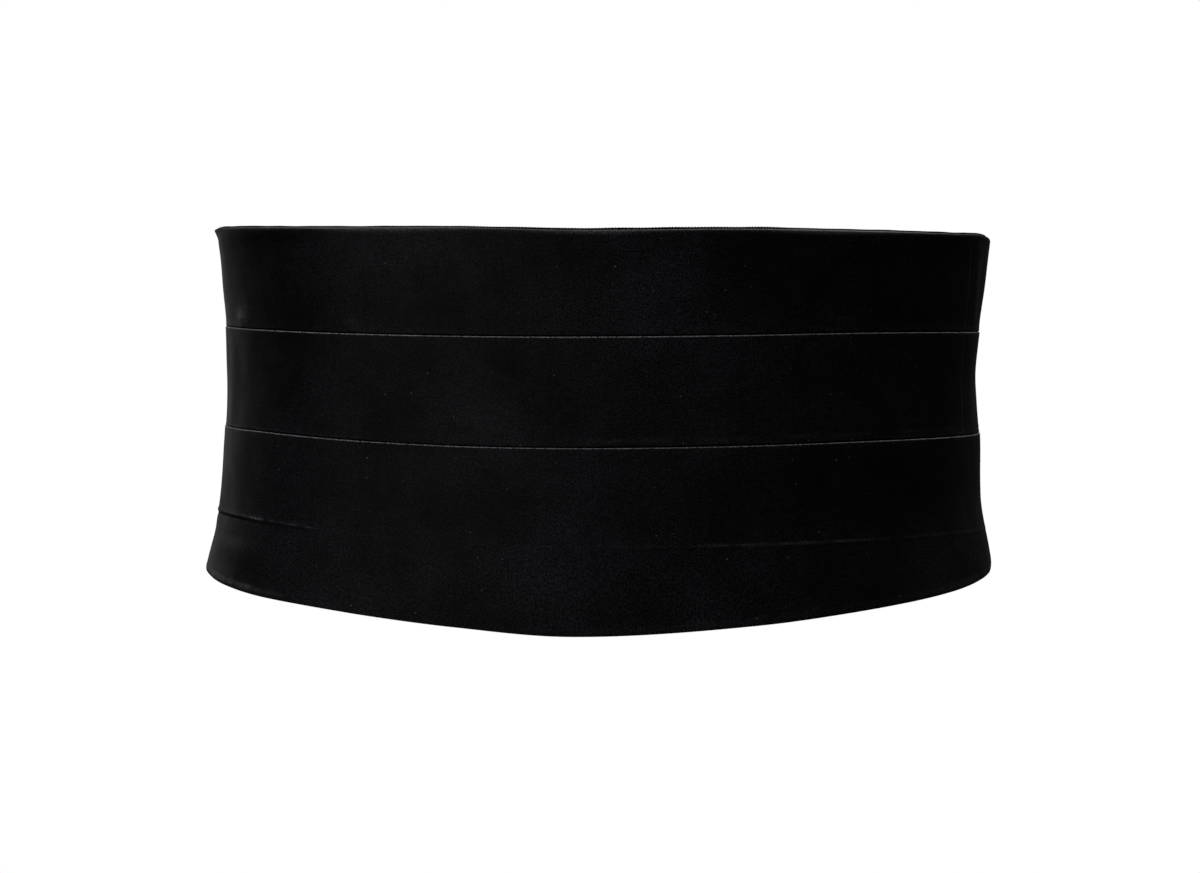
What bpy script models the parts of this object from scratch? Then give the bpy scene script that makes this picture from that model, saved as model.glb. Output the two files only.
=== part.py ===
"""A pleated satin cummerbund in the shape it has when worn, with no wearer.

Metres, +Z up, and the front faces -Y. The origin is the middle of the waist, at its narrowest level.
Angles go round the waist in degrees from the centre front: +90 is the right side seen from the front.
Depth is measured inwards from the outer skin of the cloth.
"""

import math
from collections import namedtuple

import bmesh
import bpy

# Cloth
WALL = 0.0010
GAP = 0.0003
FOLD_INSIDE = GAP / 2
FOLD_OUTSIDE = WALL + FOLD_INSIDE
BEND_STEP = 45.0

# Front, from side seam to side seam
SIDE_SEAM = 97.0
FRONT_COLUMNS = 41
TURNED_EDGE = 0.012
TUCK_CLEAR = 0.0040
ROLL_ANGLE = 70.0
ROLL_GOES_ON = 42.0
TIER_STAND = 0.0004
TIER_RISE = 0.0035
CREASE_RIDGE = 0.0003
CREASE_GROOVE = 0.0006
CREASE_SPREAD = 0.0028
CREASE_DROP = 0.0042
CREASE_FADE = 0.0042

# Lining
LINING_SHOWS = 0.0005
LINING_CLEAR = 0.0012
LINING_STEP = 0.0050

# Wings
WING_WALL = 0.0020
WING_END = 135.0
WING_COLUMNS = 13
WING_END_HEIGHT = 0.044
WING_CHAMFER = 0.0005

# Straps at the back, measured along the waist from the centre back
STRAP_MIDDLE = -0.012
STRAP_WIDTH = 0.038
STRAP_IN_WING = 131.0
STRAP_LEAVES_WING = 137.0
STRAP_ON_SKIN = 144.0
STRAP_UPRIGHT = 148.0
STRAP_POINTS = 12
FASTENER_BAR_THICK = 0.0014
FASTENER_BAR = 0.0020
FASTENER_RAIL = 0.0025
FASTENER_AT = 0.0142
FASTENER_SLOPE = 0.0040
SLIDE_AT = 0.0360
SLIDE_BAR = 0.0030
SLIDE_WINDOW = 0.0050
STRAP_END_AT = 0.0340
HOOK_NECK = 0.0080
HOOK_NECK_WIDE = 0.0025
HOOK_TONGUE_HALF = 0.0080
HOOK_TIP = -0.0010
EYE_BAR_AT = 0.0030
HARDWARE_BEVEL = 0.0003

# Outer skin at each height: half-widths to the left and right, half-depths to the front and back
Level = namedtuple("Level", "height left right front back")
LEVELS = [
    Level(-0.0920, 0.1549, 0.1514, 0.1150, 0.1130),
    Level(-0.0743, 0.1509, 0.1488, 0.1118, 0.1095),
    Level(-0.0667, 0.1489, 0.1474, 0.1105, 0.1082),
    Level(-0.0591, 0.1470, 0.1459, 0.1094, 0.1070),
    Level(-0.0478, 0.1453, 0.1441, 0.1082, 0.1056),
    Level(-0.0250, 0.1433, 0.1435, 0.1068, 0.1036),
    Level(-0.0120, 0.1424, 0.1425, 0.1061, 0.1028),
    Level(0.0000, 0.1422, 0.1420, 0.1058, 0.1025),
    Level(0.0166, 0.1426, 0.1434, 0.1062, 0.1030),
    Level(0.0318, 0.1440, 0.1454, 0.1070, 0.1044),
    Level(0.0431, 0.1448, 0.1467, 0.1076, 0.1056),
    Level(0.0560, 0.1468, 0.1484, 0.1084, 0.1070),
]

# Heights of the front's edges and folds at each angle, and how strongly the lowest crease shows there
Meridian = namedtuple("Meridian", "angle top upper_pleat lower_pleat crease hem crease_strength")
MERIDIANS = [
    Meridian(-97.0, 0.0524, 0.0168, -0.0206, -0.0560, -0.0742, 0.6),
    Meridian(-80.0, 0.0535, 0.0167, -0.0208, -0.0556, -0.0768, 0.9),
    Meridian(-60.0, 0.0539, 0.0164, -0.0210, -0.0548, -0.0796, 1.0),
    Meridian(-40.0, 0.0538, 0.0159, -0.0223, -0.0557, -0.0830, 0.5),
    Meridian(-20.0, 0.0538, 0.0155, -0.0235, -0.0578, -0.0871, 0.2),
    Meridian(-4.0, 0.0532, 0.0154, -0.0238, -0.0583, -0.0897, 0.2),
    Meridian(20.0, 0.0536, 0.0158, -0.0234, -0.0583, -0.0869, 0.2),
    Meridian(40.0, 0.0526, 0.0161, -0.0229, -0.0582, -0.0829, 0.2),
    Meridian(60.0, 0.0516, 0.0156, -0.0231, -0.0583, -0.0793, 0.3),
    Meridian(75.0, 0.0510, 0.0149, -0.0235, -0.0592, -0.0768, 0.4),
    Meridian(97.0, 0.0484, 0.0142, -0.0240, -0.0598, -0.0744, 0.4),
]

# Half the stretch of skin, in degrees, from which its direction is read
HALF_STRETCH = 0.5
# Angles in degrees past which an edge is shaded sharp
CLOTH_SHARP = 50
METAL_SHARP = 35

WAIST = next(level for level in LEVELS if level.height == 0.0)

# Finishes
SATIN = dict(colour=(0.006, 0.006, 0.007), roughness=0.42)
LINING = dict(colour=(0.008, 0.008, 0.009), roughness=0.65)
ELASTIC = dict(colour=(0.007, 0.007, 0.008), roughness=0.80)
METAL = dict(colour=(0.020, 0.020, 0.022), roughness=0.35, metallic=1.0)


def smooth(rows, column, at):
    """Value of a column at a place along the first column, on a smooth curve through the rows."""
    keys = [row[0] for row in rows]
    values = [getattr(row, column) for row in rows]
    at = min(max(at, keys[0]), keys[-1])
    index = 0
    while index < len(keys) - 2 and at > keys[index + 1]:
        index += 1

    def slope(i):
        low, high = max(i - 1, 0), min(i + 1, len(keys) - 1)
        return (values[high] - values[low]) / (keys[high] - keys[low])

    span = keys[index + 1] - keys[index]
    t = (at - keys[index]) / span
    start = (2 * t**3 - 3 * t**2 + 1) * values[index] + (t**3 - 2 * t**2 + t) * span * slope(index)
    end = (3 * t**2 - 2 * t**3) * values[index + 1] + (t**3 - t**2) * span * slope(index + 1)
    return start + end


def ease(t):
    """0 to 1 with a soft start and a soft end."""
    t = min(max(t, 0.0), 1.0)
    return t * t * (3 - 2 * t)


def skin(angle, height):
    """Point of the outer skin in plan."""
    left = smooth(LEVELS, "left", height)
    right = smooth(LEVELS, "right", height)
    front = smooth(LEVELS, "front", height)
    back = smooth(LEVELS, "back", height)
    turn = math.radians(angle)
    half_width = (right + left) / 2 + (right - left) / 2 * math.sin(turn)
    half_depth = (front + back) / 2 + (front - back) / 2 * math.cos(turn)
    return half_width * math.sin(turn), -half_depth * math.cos(turn)


def put(angle, height, depth, level=None):
    """Point at a depth under the skin. The level is the height whose outline it follows."""
    level = height if level is None else level
    x, y = skin(angle, level)
    x_after, y_after = skin(angle + HALF_STRETCH, level)
    x_before, y_before = skin(angle - HALF_STRETCH, level)
    along_x, along_y = x_after - x_before, y_after - y_before
    length = math.hypot(along_x, along_y)
    return x - depth * along_y / length, y + depth * along_x / length, height


def layer(count):
    """Depth of the outer side of a layer of cloth, the skin's own layer being 0."""
    return count * (WALL + GAP)


def bend(face, back, centre, face_radius, back_radius, start, end):
    """Adds a bend's points to the cloth's face and back. 0 degrees is inwards and 90 is up."""
    for points, radius in ((face, face_radius), (back, back_radius)):
        steps = max(2, round(abs(end - start) / BEND_STEP)) if radius > WALL else 2
        for step in range(steps + 1):
            turn = math.radians(start + (end - start) * step / steps)
            points.append((centre[0] + radius * math.cos(turn), centre[1] + radius * math.sin(turn)))


def run_down(face, back, heights, outer=0.0):
    """Adds a stretch that goes down with its face outwards."""
    for height in heights:
        face.append((outer, height))
        back.append((outer + WALL, height))


def run_up(face, back, heights, outer):
    """Adds a stretch that goes up with its face inwards."""
    for height in heights:
        face.append((outer + WALL, height))
        back.append((outer, height))


def shares(high, low, count):
    """Heights that part a stretch evenly, without its ends."""
    return [high + (low - high) * step / (count + 1) for step in range(1, count + 1)]


def fold_over(face, back, height):
    """Fold that faces up, from the layer behind over to the layer in front."""
    bend(face, back, (FOLD_OUTSIDE, height - FOLD_OUTSIDE), FOLD_OUTSIDE, FOLD_INSIDE, 0, 180)


def tuck(face, back, fold, inner_fold):
    """One knife pleat: the tier above rolls in over the fold, goes down behind it, and comes back up to it."""
    fold_centre = (FOLD_OUTSIDE, fold - FOLD_OUTSIDE)
    near = FOLD_OUTSIDE + GAP
    middle = near + WALL / 2
    cosine = math.cos(math.radians(ROLL_ANGLE))
    sine = math.sin(math.radians(ROLL_ANGLE))
    roll = (FOLD_OUTSIDE - WALL / 2 + middle * cosine) / (1 - cosine)
    roll_centre = (fold_centre[0] + (middle + roll) * cosine, fold_centre[1] + (middle + roll) * sine)
    bend(face, back, roll_centre, roll + WALL / 2, roll - WALL / 2, 180, 180 + ROLL_ANGLE)
    bend(face, back, fold_centre, near, near + WALL, ROLL_GOES_ON, 0)
    low = inner_fold + FOLD_OUTSIDE
    run_down(face, back, shares(fold_centre[1], low, 1), layer(2))
    bend(face, back, (layer(1) + FOLD_OUTSIDE, low), FOLD_INSIDE, FOLD_OUTSIDE, 0, -180)
    run_up(face, back, shares(low, fold_centre[1], 1), layer(1))
    fold_over(face, back, fold)


def front_section(line):
    """Closed outline of the folded satin at one angle, as depth and height."""
    face, back = [], []
    run_up(face, back, [line.top - TURNED_EDGE], layer(1))
    fold_over(face, back, line.top)
    run_down(face, back, shares(line.top - FOLD_OUTSIDE, line.upper_pleat + TUCK_CLEAR, 3))
    tuck(face, back, line.upper_pleat, line.lower_pleat + TUCK_CLEAR)
    run_down(face, back, shares(line.upper_pleat - FOLD_OUTSIDE, line.lower_pleat + TUCK_CLEAR, 3))
    tuck(face, back, line.lower_pleat, line.crease)
    crease_start = line.crease + CREASE_DROP
    crease_end = line.crease - CREASE_DROP - CREASE_FADE
    run_down(face, back, shares(line.lower_pleat, crease_start, 2))
    run_down(face, back, [crease_start, line.crease, line.crease - CREASE_DROP / 2])
    run_down(face, back, [line.crease - CREASE_DROP, crease_end])
    run_down(face, back, shares(crease_end, line.hem, 1))
    bend(face, back, (FOLD_OUTSIDE, line.hem + FOLD_OUTSIDE), FOLD_OUTSIDE, FOLD_INSIDE, 180, 360)
    run_up(face, back, [line.hem + TURNED_EDGE], layer(1))
    return face + back[::-1]


def lining_section(line):
    """Closed outline of the lining at one angle: it lies behind the turned edges and behind the pleats."""
    behind_edges, behind_pleats = layer(2), layer(3)
    steps_in = line.upper_pleat + LINING_CLEAR
    steps_out = line.crease - LINING_CLEAR
    rows = [
        (behind_edges, line.top + LINING_SHOWS),
        (behind_edges, line.top - FOLD_OUTSIDE),
        (behind_edges, line.top - TURNED_EDGE),
        (behind_edges, (line.top - TURNED_EDGE + steps_in) / 2),
        (behind_edges, steps_in + LINING_STEP),
        (behind_pleats, steps_in),
        (behind_pleats, (line.upper_pleat + line.lower_pleat) / 2),
        (behind_pleats, line.lower_pleat),
        (behind_pleats, (line.lower_pleat + line.crease) / 2),
        (behind_pleats, steps_out),
        (behind_edges, steps_out - LINING_STEP),
        (behind_edges, line.hem + TURNED_EDGE),
        (behind_edges, line.hem + FOLD_OUTSIDE),
    ]
    back = [(depth + WALL, height) for depth, height in rows]
    return rows + back[::-1]


def relief(line, height):
    """How far the cloth stands out at a height: the tiers under their folds, and the crease below them."""
    out = 0.0
    for fold, foot in ((line.upper_pleat, line.lower_pleat), (line.lower_pleat, line.crease)):
        if height > fold:
            out += TIER_STAND * ease(1 - (height - fold) / TIER_RISE)
        elif height > foot:
            out += TIER_STAND * ease((height - foot) / (fold - foot))
    ridge = math.exp(-(((height - line.crease) / CREASE_SPREAD) ** 2))
    groove = math.exp(-(((height - line.crease + CREASE_DROP) / CREASE_SPREAD) ** 2))
    return out + line.crease_strength * (CREASE_RIDGE * ridge - CREASE_GROOVE * groove)


def meridian(angle):
    """The front's heights at any angle."""
    return Meridian(angle, *(smooth(MERIDIANS, column, angle) for column in Meridian._fields[1:]))


def loft(name, rings, finish):
    """Closed body through rings of equal count, with both ends capped."""
    shape = bmesh.new()
    corners = [[shape.verts.new(point) for point in ring] for ring in rings]
    count = len(rings[0])
    for ring, following in zip(corners, corners[1:]):
        for i in range(count):
            j = (i + 1) % count
            shape.faces.new((ring[i], ring[j], following[j], following[i]))
    shape.faces.new(corners[0])
    shape.faces.new(corners[-1])
    return body(name, shape, finish, CLOTH_SHARP)


def body(name, shape, finish, sharp):
    """Object made from a closed bmesh, in a material of its own."""
    bmesh.ops.recalc_face_normals(shape, faces=shape.faces)
    mesh = bpy.data.meshes.new(name)
    shape.to_mesh(mesh)
    shape.free()
    mesh.shade_smooth()
    mesh.set_sharp_from_angle(angle=math.radians(sharp))
    piece = bpy.data.objects.new(name, mesh)
    bpy.context.scene.collection.objects.link(piece)
    material = bpy.data.materials.new(name)
    material.use_nodes = True
    shader = material.node_tree.nodes["Principled BSDF"]
    shader.inputs["Base Color"].default_value = (*finish["colour"], 1.0)
    shader.inputs["Roughness"].default_value = finish["roughness"]
    shader.inputs["Metallic"].default_value = finish.get("metallic", 0.0)
    mesh.materials.append(material)
    return piece


def flat(line, height):
    """No relief: the lining lies plain."""
    return 0.0


def front_piece(name, section, stands_out, finish):
    """Wall that goes round the front, its section worked out at each angle."""
    rings = []
    for column in range(FRONT_COLUMNS):
        angle = SIDE_SEAM * (2 * column / (FRONT_COLUMNS - 1) - 1)
        line = meridian(angle)
        outline = section(line)
        rings.append([put(angle, height, depth - stands_out(line, height)) for depth, height in outline])
    return loft(name, rings, finish)


def wing(name, side):
    """Plain side panel that tapers from the side seam to the strap."""
    seam = meridian(side * SIDE_SEAM)
    seam_gap = math.degrees(GAP / WAIST.front)
    rings = []
    for column in range(WING_COLUMNS):
        share = column / (WING_COLUMNS - 1)
        angle = SIDE_SEAM + seam_gap + (WING_END - SIDE_SEAM - seam_gap) * share
        taper = ease(share)
        top = seam.top + (STRAP_MIDDLE + WING_END_HEIGHT / 2 - seam.top) * taper
        bottom = seam.hem + (STRAP_MIDDLE - WING_END_HEIGHT / 2 - seam.hem) * taper
        outer = [(0.0, height) for height in (top - WING_CHAMFER, *shares(top, bottom, 5), bottom + WING_CHAMFER)]
        inner = [(WING_WALL, height) for _, height in outer]
        section = [(WING_CHAMFER, top), *outer, (WING_CHAMFER, bottom)]
        section += [(WING_WALL - WING_CHAMFER, bottom), *inner[::-1], (WING_WALL - WING_CHAMFER, top)]
        rings.append([put(side * angle, height, depth) for depth, height in section])
    return loft(name, rings, SATIN)


def behind(along):
    """Angle of a place measured along the waist from the centre back."""
    return 180.0 - math.degrees(along / WAIST.left)


def along_to(angle):
    """Place along the waist from the centre back, of an angle."""
    return math.radians(180.0 - angle) * WAIST.left


def strap(name, side, has_slide):
    """Elastic band from inside the wing to its fastener, looped on the bar and folded back."""
    loop_depth = layer(1) + FASTENER_BAR_THICK / 2
    loop_at = FASTENER_AT - GAP + FASTENER_BAR_THICK / 2
    past_bar = FASTENER_AT + FASTENER_BAR + GAP
    sewn_down = past_bar + FASTENER_SLOPE
    face, back = [], []
    run_down(face, back, [along_to(STRAP_IN_WING), along_to(STRAP_LEAVES_WING)], WING_WALL + GAP)
    run_down(face, back, [along_to(STRAP_ON_SKIN)])
    run_down(face, back, shares(along_to(STRAP_ON_SKIN), loop_at, STRAP_POINTS))
    bend(face, back, (loop_depth, loop_at), loop_depth, loop_depth - WALL, 180, 360)
    run_up(face, back, [past_bar], 2 * loop_depth - WALL)
    run_up(face, back, [sewn_down], layer(1))
    if has_slide:
        bar_end = SLIDE_AT + 2 * SLIDE_BAR + SLIDE_WINDOW
        loop_centre = (layer(2) + FASTENER_BAR_THICK / 2, bar_end + GAP - FASTENER_BAR_THICK / 2)
        run_up(face, back, shares(sewn_down, loop_centre[1], 4), layer(1))
        bend(face, back, loop_centre, loop_depth - WALL, loop_depth, 180, 0)
        run_down(face, back, [STRAP_END_AT], layer(2) + FASTENER_BAR_THICK + GAP)
    else:
        run_up(face, back, shares(sewn_down, STRAP_END_AT, 2), layer(1))
        run_up(face, back, [STRAP_END_AT], layer(1))
    outline = face + back[::-1]
    rings = []
    for height in (STRAP_MIDDLE - STRAP_WIDTH / 2, STRAP_MIDDLE, STRAP_MIDDLE + STRAP_WIDTH / 2):
        ring = []
        for depth, along in outline:
            angle = behind(along)
            follow = 1 - ease((angle - WING_END) / (STRAP_UPRIGHT - WING_END))
            level = STRAP_MIDDLE + (height - STRAP_MIDDLE) * follow
            ring.append(put(side * angle, height, depth, level))
        rings.append(ring)
    return loft(name, rings, ELASTIC)


def blocks(name, side, alongs, heights, depths, filled):
    """Hard piece made of square bars: the cells of a grid that are filled, joined in one body."""
    shape = bmesh.new()
    corners = {}

    def corner(i, j, k):
        if (i, j, k) not in corners:
            place = put(side * behind(alongs[i]), STRAP_MIDDLE + heights[j], depths[k], STRAP_MIDDLE)
            corners[i, j, k] = shape.verts.new(place)
        return corners[i, j, k]

    ways = (
        ((1, 0, 0), ((1, 0, 0), (1, 1, 0), (1, 1, 1), (1, 0, 1))),
        ((-1, 0, 0), ((0, 0, 0), (0, 0, 1), (0, 1, 1), (0, 1, 0))),
        ((0, 1, 0), ((0, 1, 0), (0, 1, 1), (1, 1, 1), (1, 1, 0))),
        ((0, -1, 0), ((0, 0, 0), (1, 0, 0), (1, 0, 1), (0, 0, 1))),
        ((0, 0, 1), ((0, 0, 1), (1, 0, 1), (1, 1, 1), (0, 1, 1))),
        ((0, 0, -1), ((0, 0, 0), (0, 1, 0), (1, 1, 0), (1, 0, 0))),
    )
    for i, j, k in sorted(filled):
        for (di, dj, dk), square in ways:
            if (i + di, j + dj, k + dk) not in filled:
                shape.faces.new([corner(i + a, j + b, k + c) for a, b, c in square])
    piece = body(name, shape, METAL, METAL_SHARP)
    bevel = piece.modifiers.new("Rounded edges", "BEVEL")
    bevel.width = HARDWARE_BEVEL
    bevel.segments = 1
    bevel.limit_method = "ANGLE"
    bevel.angle_limit = math.radians(METAL_SHARP)
    return piece


def strap_slide():
    """Slide of three bars: two outside the strap, and one behind it that holds the strap's end."""
    alongs = [SLIDE_AT]
    for step in (SLIDE_BAR, SLIDE_WINDOW, SLIDE_BAR, SLIDE_WINDOW, SLIDE_BAR):
        alongs.append(alongs[-1] + step)
    inside = STRAP_WIDTH / 2 + GAP
    heights = [-inside - FASTENER_RAIL, -inside, inside, inside + FASTENER_RAIL]
    depths = [-GAP - FASTENER_BAR_THICK, -GAP, layer(2), layer(2) + FASTENER_BAR_THICK]
    rails = {(i, j, k) for i in range(5) for j in (0, 2) for k in range(3)}
    return blocks("strap_slide", 1, alongs, heights, depths, rails | {(0, 1, 0), (2, 1, 2), (4, 1, 0)})


def strap_eye():
    """Eye at the end of the left strap: a frame of two bars and two rails."""
    alongs = [EYE_BAR_AT, EYE_BAR_AT + FASTENER_BAR, FASTENER_AT, FASTENER_AT + FASTENER_BAR]
    inside = STRAP_WIDTH / 2 + GAP
    heights = [-inside - FASTENER_RAIL, -inside, inside, inside + FASTENER_RAIL]
    depths = [layer(1), layer(1) + FASTENER_BAR_THICK]
    frame = {(i, j, 0) for i in range(3) for j in range(3)} - {(1, 1, 0)}
    return blocks("strap_eye", -1, alongs, heights, depths, frame)


def strap_hook():
    """Hook at the end of the right strap: a frame whose tongue goes round the eye's bar."""
    far = -EYE_BAR_AT - FASTENER_BAR - GAP
    alongs = [far - FASTENER_BAR_THICK, far, HOOK_TIP, HOOK_NECK, HOOK_NECK + HOOK_NECK_WIDE]
    alongs += [FASTENER_AT, FASTENER_AT + FASTENER_BAR]
    inside = STRAP_WIDTH / 2 + GAP
    tongue = HOOK_TONGUE_HALF
    heights = [-inside - FASTENER_RAIL, -inside, -tongue, tongue, inside, inside + FASTENER_RAIL]
    bar = layer(1)
    depths = [bar - GAP - FASTENER_BAR_THICK, bar - GAP, bar, bar + FASTENER_BAR_THICK]
    depths += [depths[3] + GAP, depths[3] + GAP + FASTENER_BAR_THICK]
    frame = {(i, j, 2) for i in (3, 5) for j in range(5)} | {(4, 0, 2), (4, 4, 2)}
    arm = {(3, 2, 0), (3, 2, 1), (2, 2, 0), (1, 2, 0)}
    hook = {(0, 2, k) for k in range(5)} | {(1, 2, 4)}
    return blocks("strap_hook", 1, alongs, heights, depths, frame | arm | hook)


for old in list(bpy.data.objects):
    bpy.data.objects.remove(old, do_unlink=True)
front_piece("front_pleats", front_section, relief, SATIN)
front_piece("front_lining", lining_section, flat, LINING)
wing("wing_left", -1)
wing("wing_right", 1)
strap("strap_left", -1, False)
strap("strap_right", 1, True)
strap_slide()
strap_eye()
strap_hook()
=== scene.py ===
"""Finish of a black pleated satin cummerbund in its worn shape, over a pale floor in soft studio light.

Metres, in the part's own frame: +Z up, the front faces -Y. Angles go round the waist in degrees from
the centre front, +90 being the right side seen from the front. Depth is measured inwards from the outer
skin.
"""

import math
from collections import namedtuple

import bmesh
import bpy
import numpy as np
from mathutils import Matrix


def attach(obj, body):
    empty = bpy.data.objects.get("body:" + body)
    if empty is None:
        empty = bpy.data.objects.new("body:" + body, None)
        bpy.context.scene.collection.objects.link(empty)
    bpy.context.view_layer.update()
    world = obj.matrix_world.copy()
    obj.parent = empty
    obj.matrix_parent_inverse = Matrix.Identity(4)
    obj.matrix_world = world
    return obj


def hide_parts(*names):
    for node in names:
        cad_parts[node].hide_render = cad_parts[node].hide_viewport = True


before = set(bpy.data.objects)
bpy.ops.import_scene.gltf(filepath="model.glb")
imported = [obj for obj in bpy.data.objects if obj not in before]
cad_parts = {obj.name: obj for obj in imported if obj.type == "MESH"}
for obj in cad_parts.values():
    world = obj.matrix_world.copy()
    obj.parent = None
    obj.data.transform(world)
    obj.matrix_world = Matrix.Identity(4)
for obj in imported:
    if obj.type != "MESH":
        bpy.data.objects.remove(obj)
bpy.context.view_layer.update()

# Cloth: how thick the satin and the lining are, and the air left between layers pressed together
SATIN_THICK = 0.00042
LINING_THICK = 0.00040
PRESSED = 0.00010
# Walls and gaps of the solids, which the straps and the lining keep to
SOLID_WALL = 0.0010
SOLID_GAP = 0.0003

# Front
SIDE_SEAM = 97.0
SATIN_COLUMN = 0.87
SATIN_STATION = 0.0018
NEAR_SEAM_COLUMN = 0.25
TURNED_EDGE = 0.012
ROLL_ANGLE = 72.0
UNDERLAY_CLEAR = 0.0030
TIER_STAND = 0.0004
TIER_RISE = 0.0014

# Lining, and the ribbed edge that shows over the top fold
LINING_SHOWS = 0.0005
LINING_PEEKS = 0.0004
LINING_PEEKS_AT = 7.0
LINING_PEEKS_ROUND = 18.0
RIB_NOTCH = 0.6
RIB = 0.0010
RIB_DEPTH = 0.00016
RIB_CUT = (0.420, 0.010)

# Wings
WING_START = 97.12
WING_END = 135.0
WING_THICK = 0.0020
WING_THIN = 0.0013
WING_EDGE_RADIUS = 0.0009
WING_TURNED = 0.0065
WING_THINS_OVER = 0.003
WING_END_HEIGHT = 0.044
TOPSTITCH_IN = 0.0032
TOPSTITCH_DIP = 0.00022
STRAP_ROW_IN = 0.0085
STRAP_ROW_SHORT = 0.006

# Straps and their fasteners, measured along the waist from the centre back
WAIST_HALF_WIDTH = 0.1422
STRAP_MIDDLE = -0.012
STRAP_WIDTH = 0.038
STRAP_IN_WING = 131.0
STRAP_LEAVES_WING = 137.0
STRAP_ON_SKIN = 144.0
STRAP_UPRIGHT = 148.0
FASTENER_BAR_THICK = 0.0014
FASTENER_BAR = 0.0020
FASTENER_RAIL = 0.0025
FASTENER_AT = 0.0142
FASTENER_SLOPE = 0.0040
SLIDE_AT = 0.0360
SLIDE_BAR = 0.0030
SLIDE_WINDOW = 0.0050
STRAP_END_AT = 0.0340
HOOK_NECK = 0.0080
HOOK_TONGUE_HALF = 0.0080
HOOK_TIP = -0.0010
EYE_BAR_AT = 0.0030
FASTENER_EDGE = 0.00045
EDGE_ANGLE = 40
SMOOTH_ANGLE = 50
# How nearly a face points along an axis to count as facing that way
FACING = 0.9

# Sewing
STITCH_LONG = 0.0021
STITCH_PITCH = 0.0028
THREAD_RADIUS = 0.00020
THREAD_SIDES = 6
# A stitch's rings: place along it, girth, and lift off the cloth
STITCH_RINGS = ((-1.0, 0.4, -0.6), (-0.6, 1.0, 0.1), (0.6, 1.0, 0.1), (1.0, 0.4, -0.6))
SEWN_ROWS = (0.0015, 0.0045)
SEWN_ROW_SHORT = 0.004

# Outer skin at each height: half-widths to the left and right, half-depths to the front and back
Level = namedtuple("Level", "height left right front back")
LEVELS = [
    Level(-0.0920, 0.1549, 0.1514, 0.1150, 0.1130),
    Level(-0.0743, 0.1509, 0.1488, 0.1118, 0.1095),
    Level(-0.0667, 0.1489, 0.1474, 0.1105, 0.1082),
    Level(-0.0591, 0.1470, 0.1459, 0.1094, 0.1070),
    Level(-0.0478, 0.1453, 0.1441, 0.1082, 0.1056),
    Level(-0.0250, 0.1433, 0.1435, 0.1068, 0.1036),
    Level(-0.0120, 0.1424, 0.1425, 0.1061, 0.1028),
    Level(0.0000, 0.1422, 0.1420, 0.1058, 0.1025),
    Level(0.0166, 0.1426, 0.1434, 0.1062, 0.1030),
    Level(0.0318, 0.1440, 0.1454, 0.1070, 0.1044),
    Level(0.0431, 0.1448, 0.1467, 0.1076, 0.1056),
    Level(0.0560, 0.1468, 0.1484, 0.1084, 0.1070),
]

# Heights of the front's edges and folds at each angle
Meridian = namedtuple("Meridian", "angle top upper_pleat lower_pleat crease hem")
MERIDIANS = [
    Meridian(-97.0, 0.0514, 0.0168, -0.0206, -0.0527, -0.0742),
    Meridian(-80.0, 0.0535, 0.0167, -0.0208, -0.0524, -0.0763),
    Meridian(-60.0, 0.0539, 0.0164, -0.0210, -0.0529, -0.0796),
    Meridian(-40.0, 0.0538, 0.0159, -0.0223, -0.0551, -0.0830),
    Meridian(-20.0, 0.0538, 0.0155, -0.0235, -0.0578, -0.0871),
    Meridian(-4.0, 0.0529, 0.0154, -0.0238, -0.0583, -0.0897),
    Meridian(20.0, 0.0533, 0.0158, -0.0234, -0.0583, -0.0869),
    Meridian(40.0, 0.0526, 0.0161, -0.0229, -0.0582, -0.0829),
    Meridian(60.0, 0.0516, 0.0156, -0.0231, -0.0583, -0.0793),
    Meridian(75.0, 0.0510, 0.0149, -0.0235, -0.0592, -0.0765),
    Meridian(97.0, 0.0470, 0.0142, -0.0240, -0.0598, -0.0744),
]

# How tall the top edge's soft roll is at each angle, and how far it leans inwards, or below 0 outwards
EdgeRoll = namedtuple("EdgeRoll", "angle tall lean")
EDGE_ROLLS = [
    EdgeRoll(-97.0, 0.0040, -0.0002),
    EdgeRoll(-88.0, 0.0045, -0.0009),
    EdgeRoll(-80.0, 0.0035, -0.0004),
    EdgeRoll(-72.0, 0.0014, 0.0004),
    EdgeRoll(-58.0, 0.0014, 0.0005),
    EdgeRoll(-48.0, 0.0016, 0.0007),
    EdgeRoll(-38.0, 0.0021, 0.0010),
    EdgeRoll(-29.0, 0.0022, 0.0010),
    EdgeRoll(-20.0, 0.0016, 0.0007),
    EdgeRoll(-12.0, 0.0014, 0.0005),
    EdgeRoll(-1.0, 0.0020, 0.0009),
    EdgeRoll(7.0, 0.0014, 0.0005),
    EdgeRoll(15.0, 0.0012, 0.0004),
    EdgeRoll(22.0, 0.0014, 0.0005),
    EdgeRoll(28.0, 0.0019, 0.0008),
    EdgeRoll(35.0, 0.0021, 0.0009),
    EdgeRoll(42.0, 0.0016, 0.0007),
    EdgeRoll(52.0, 0.0013, 0.0004),
    EdgeRoll(97.0, 0.0012, 0.0004),
]

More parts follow.
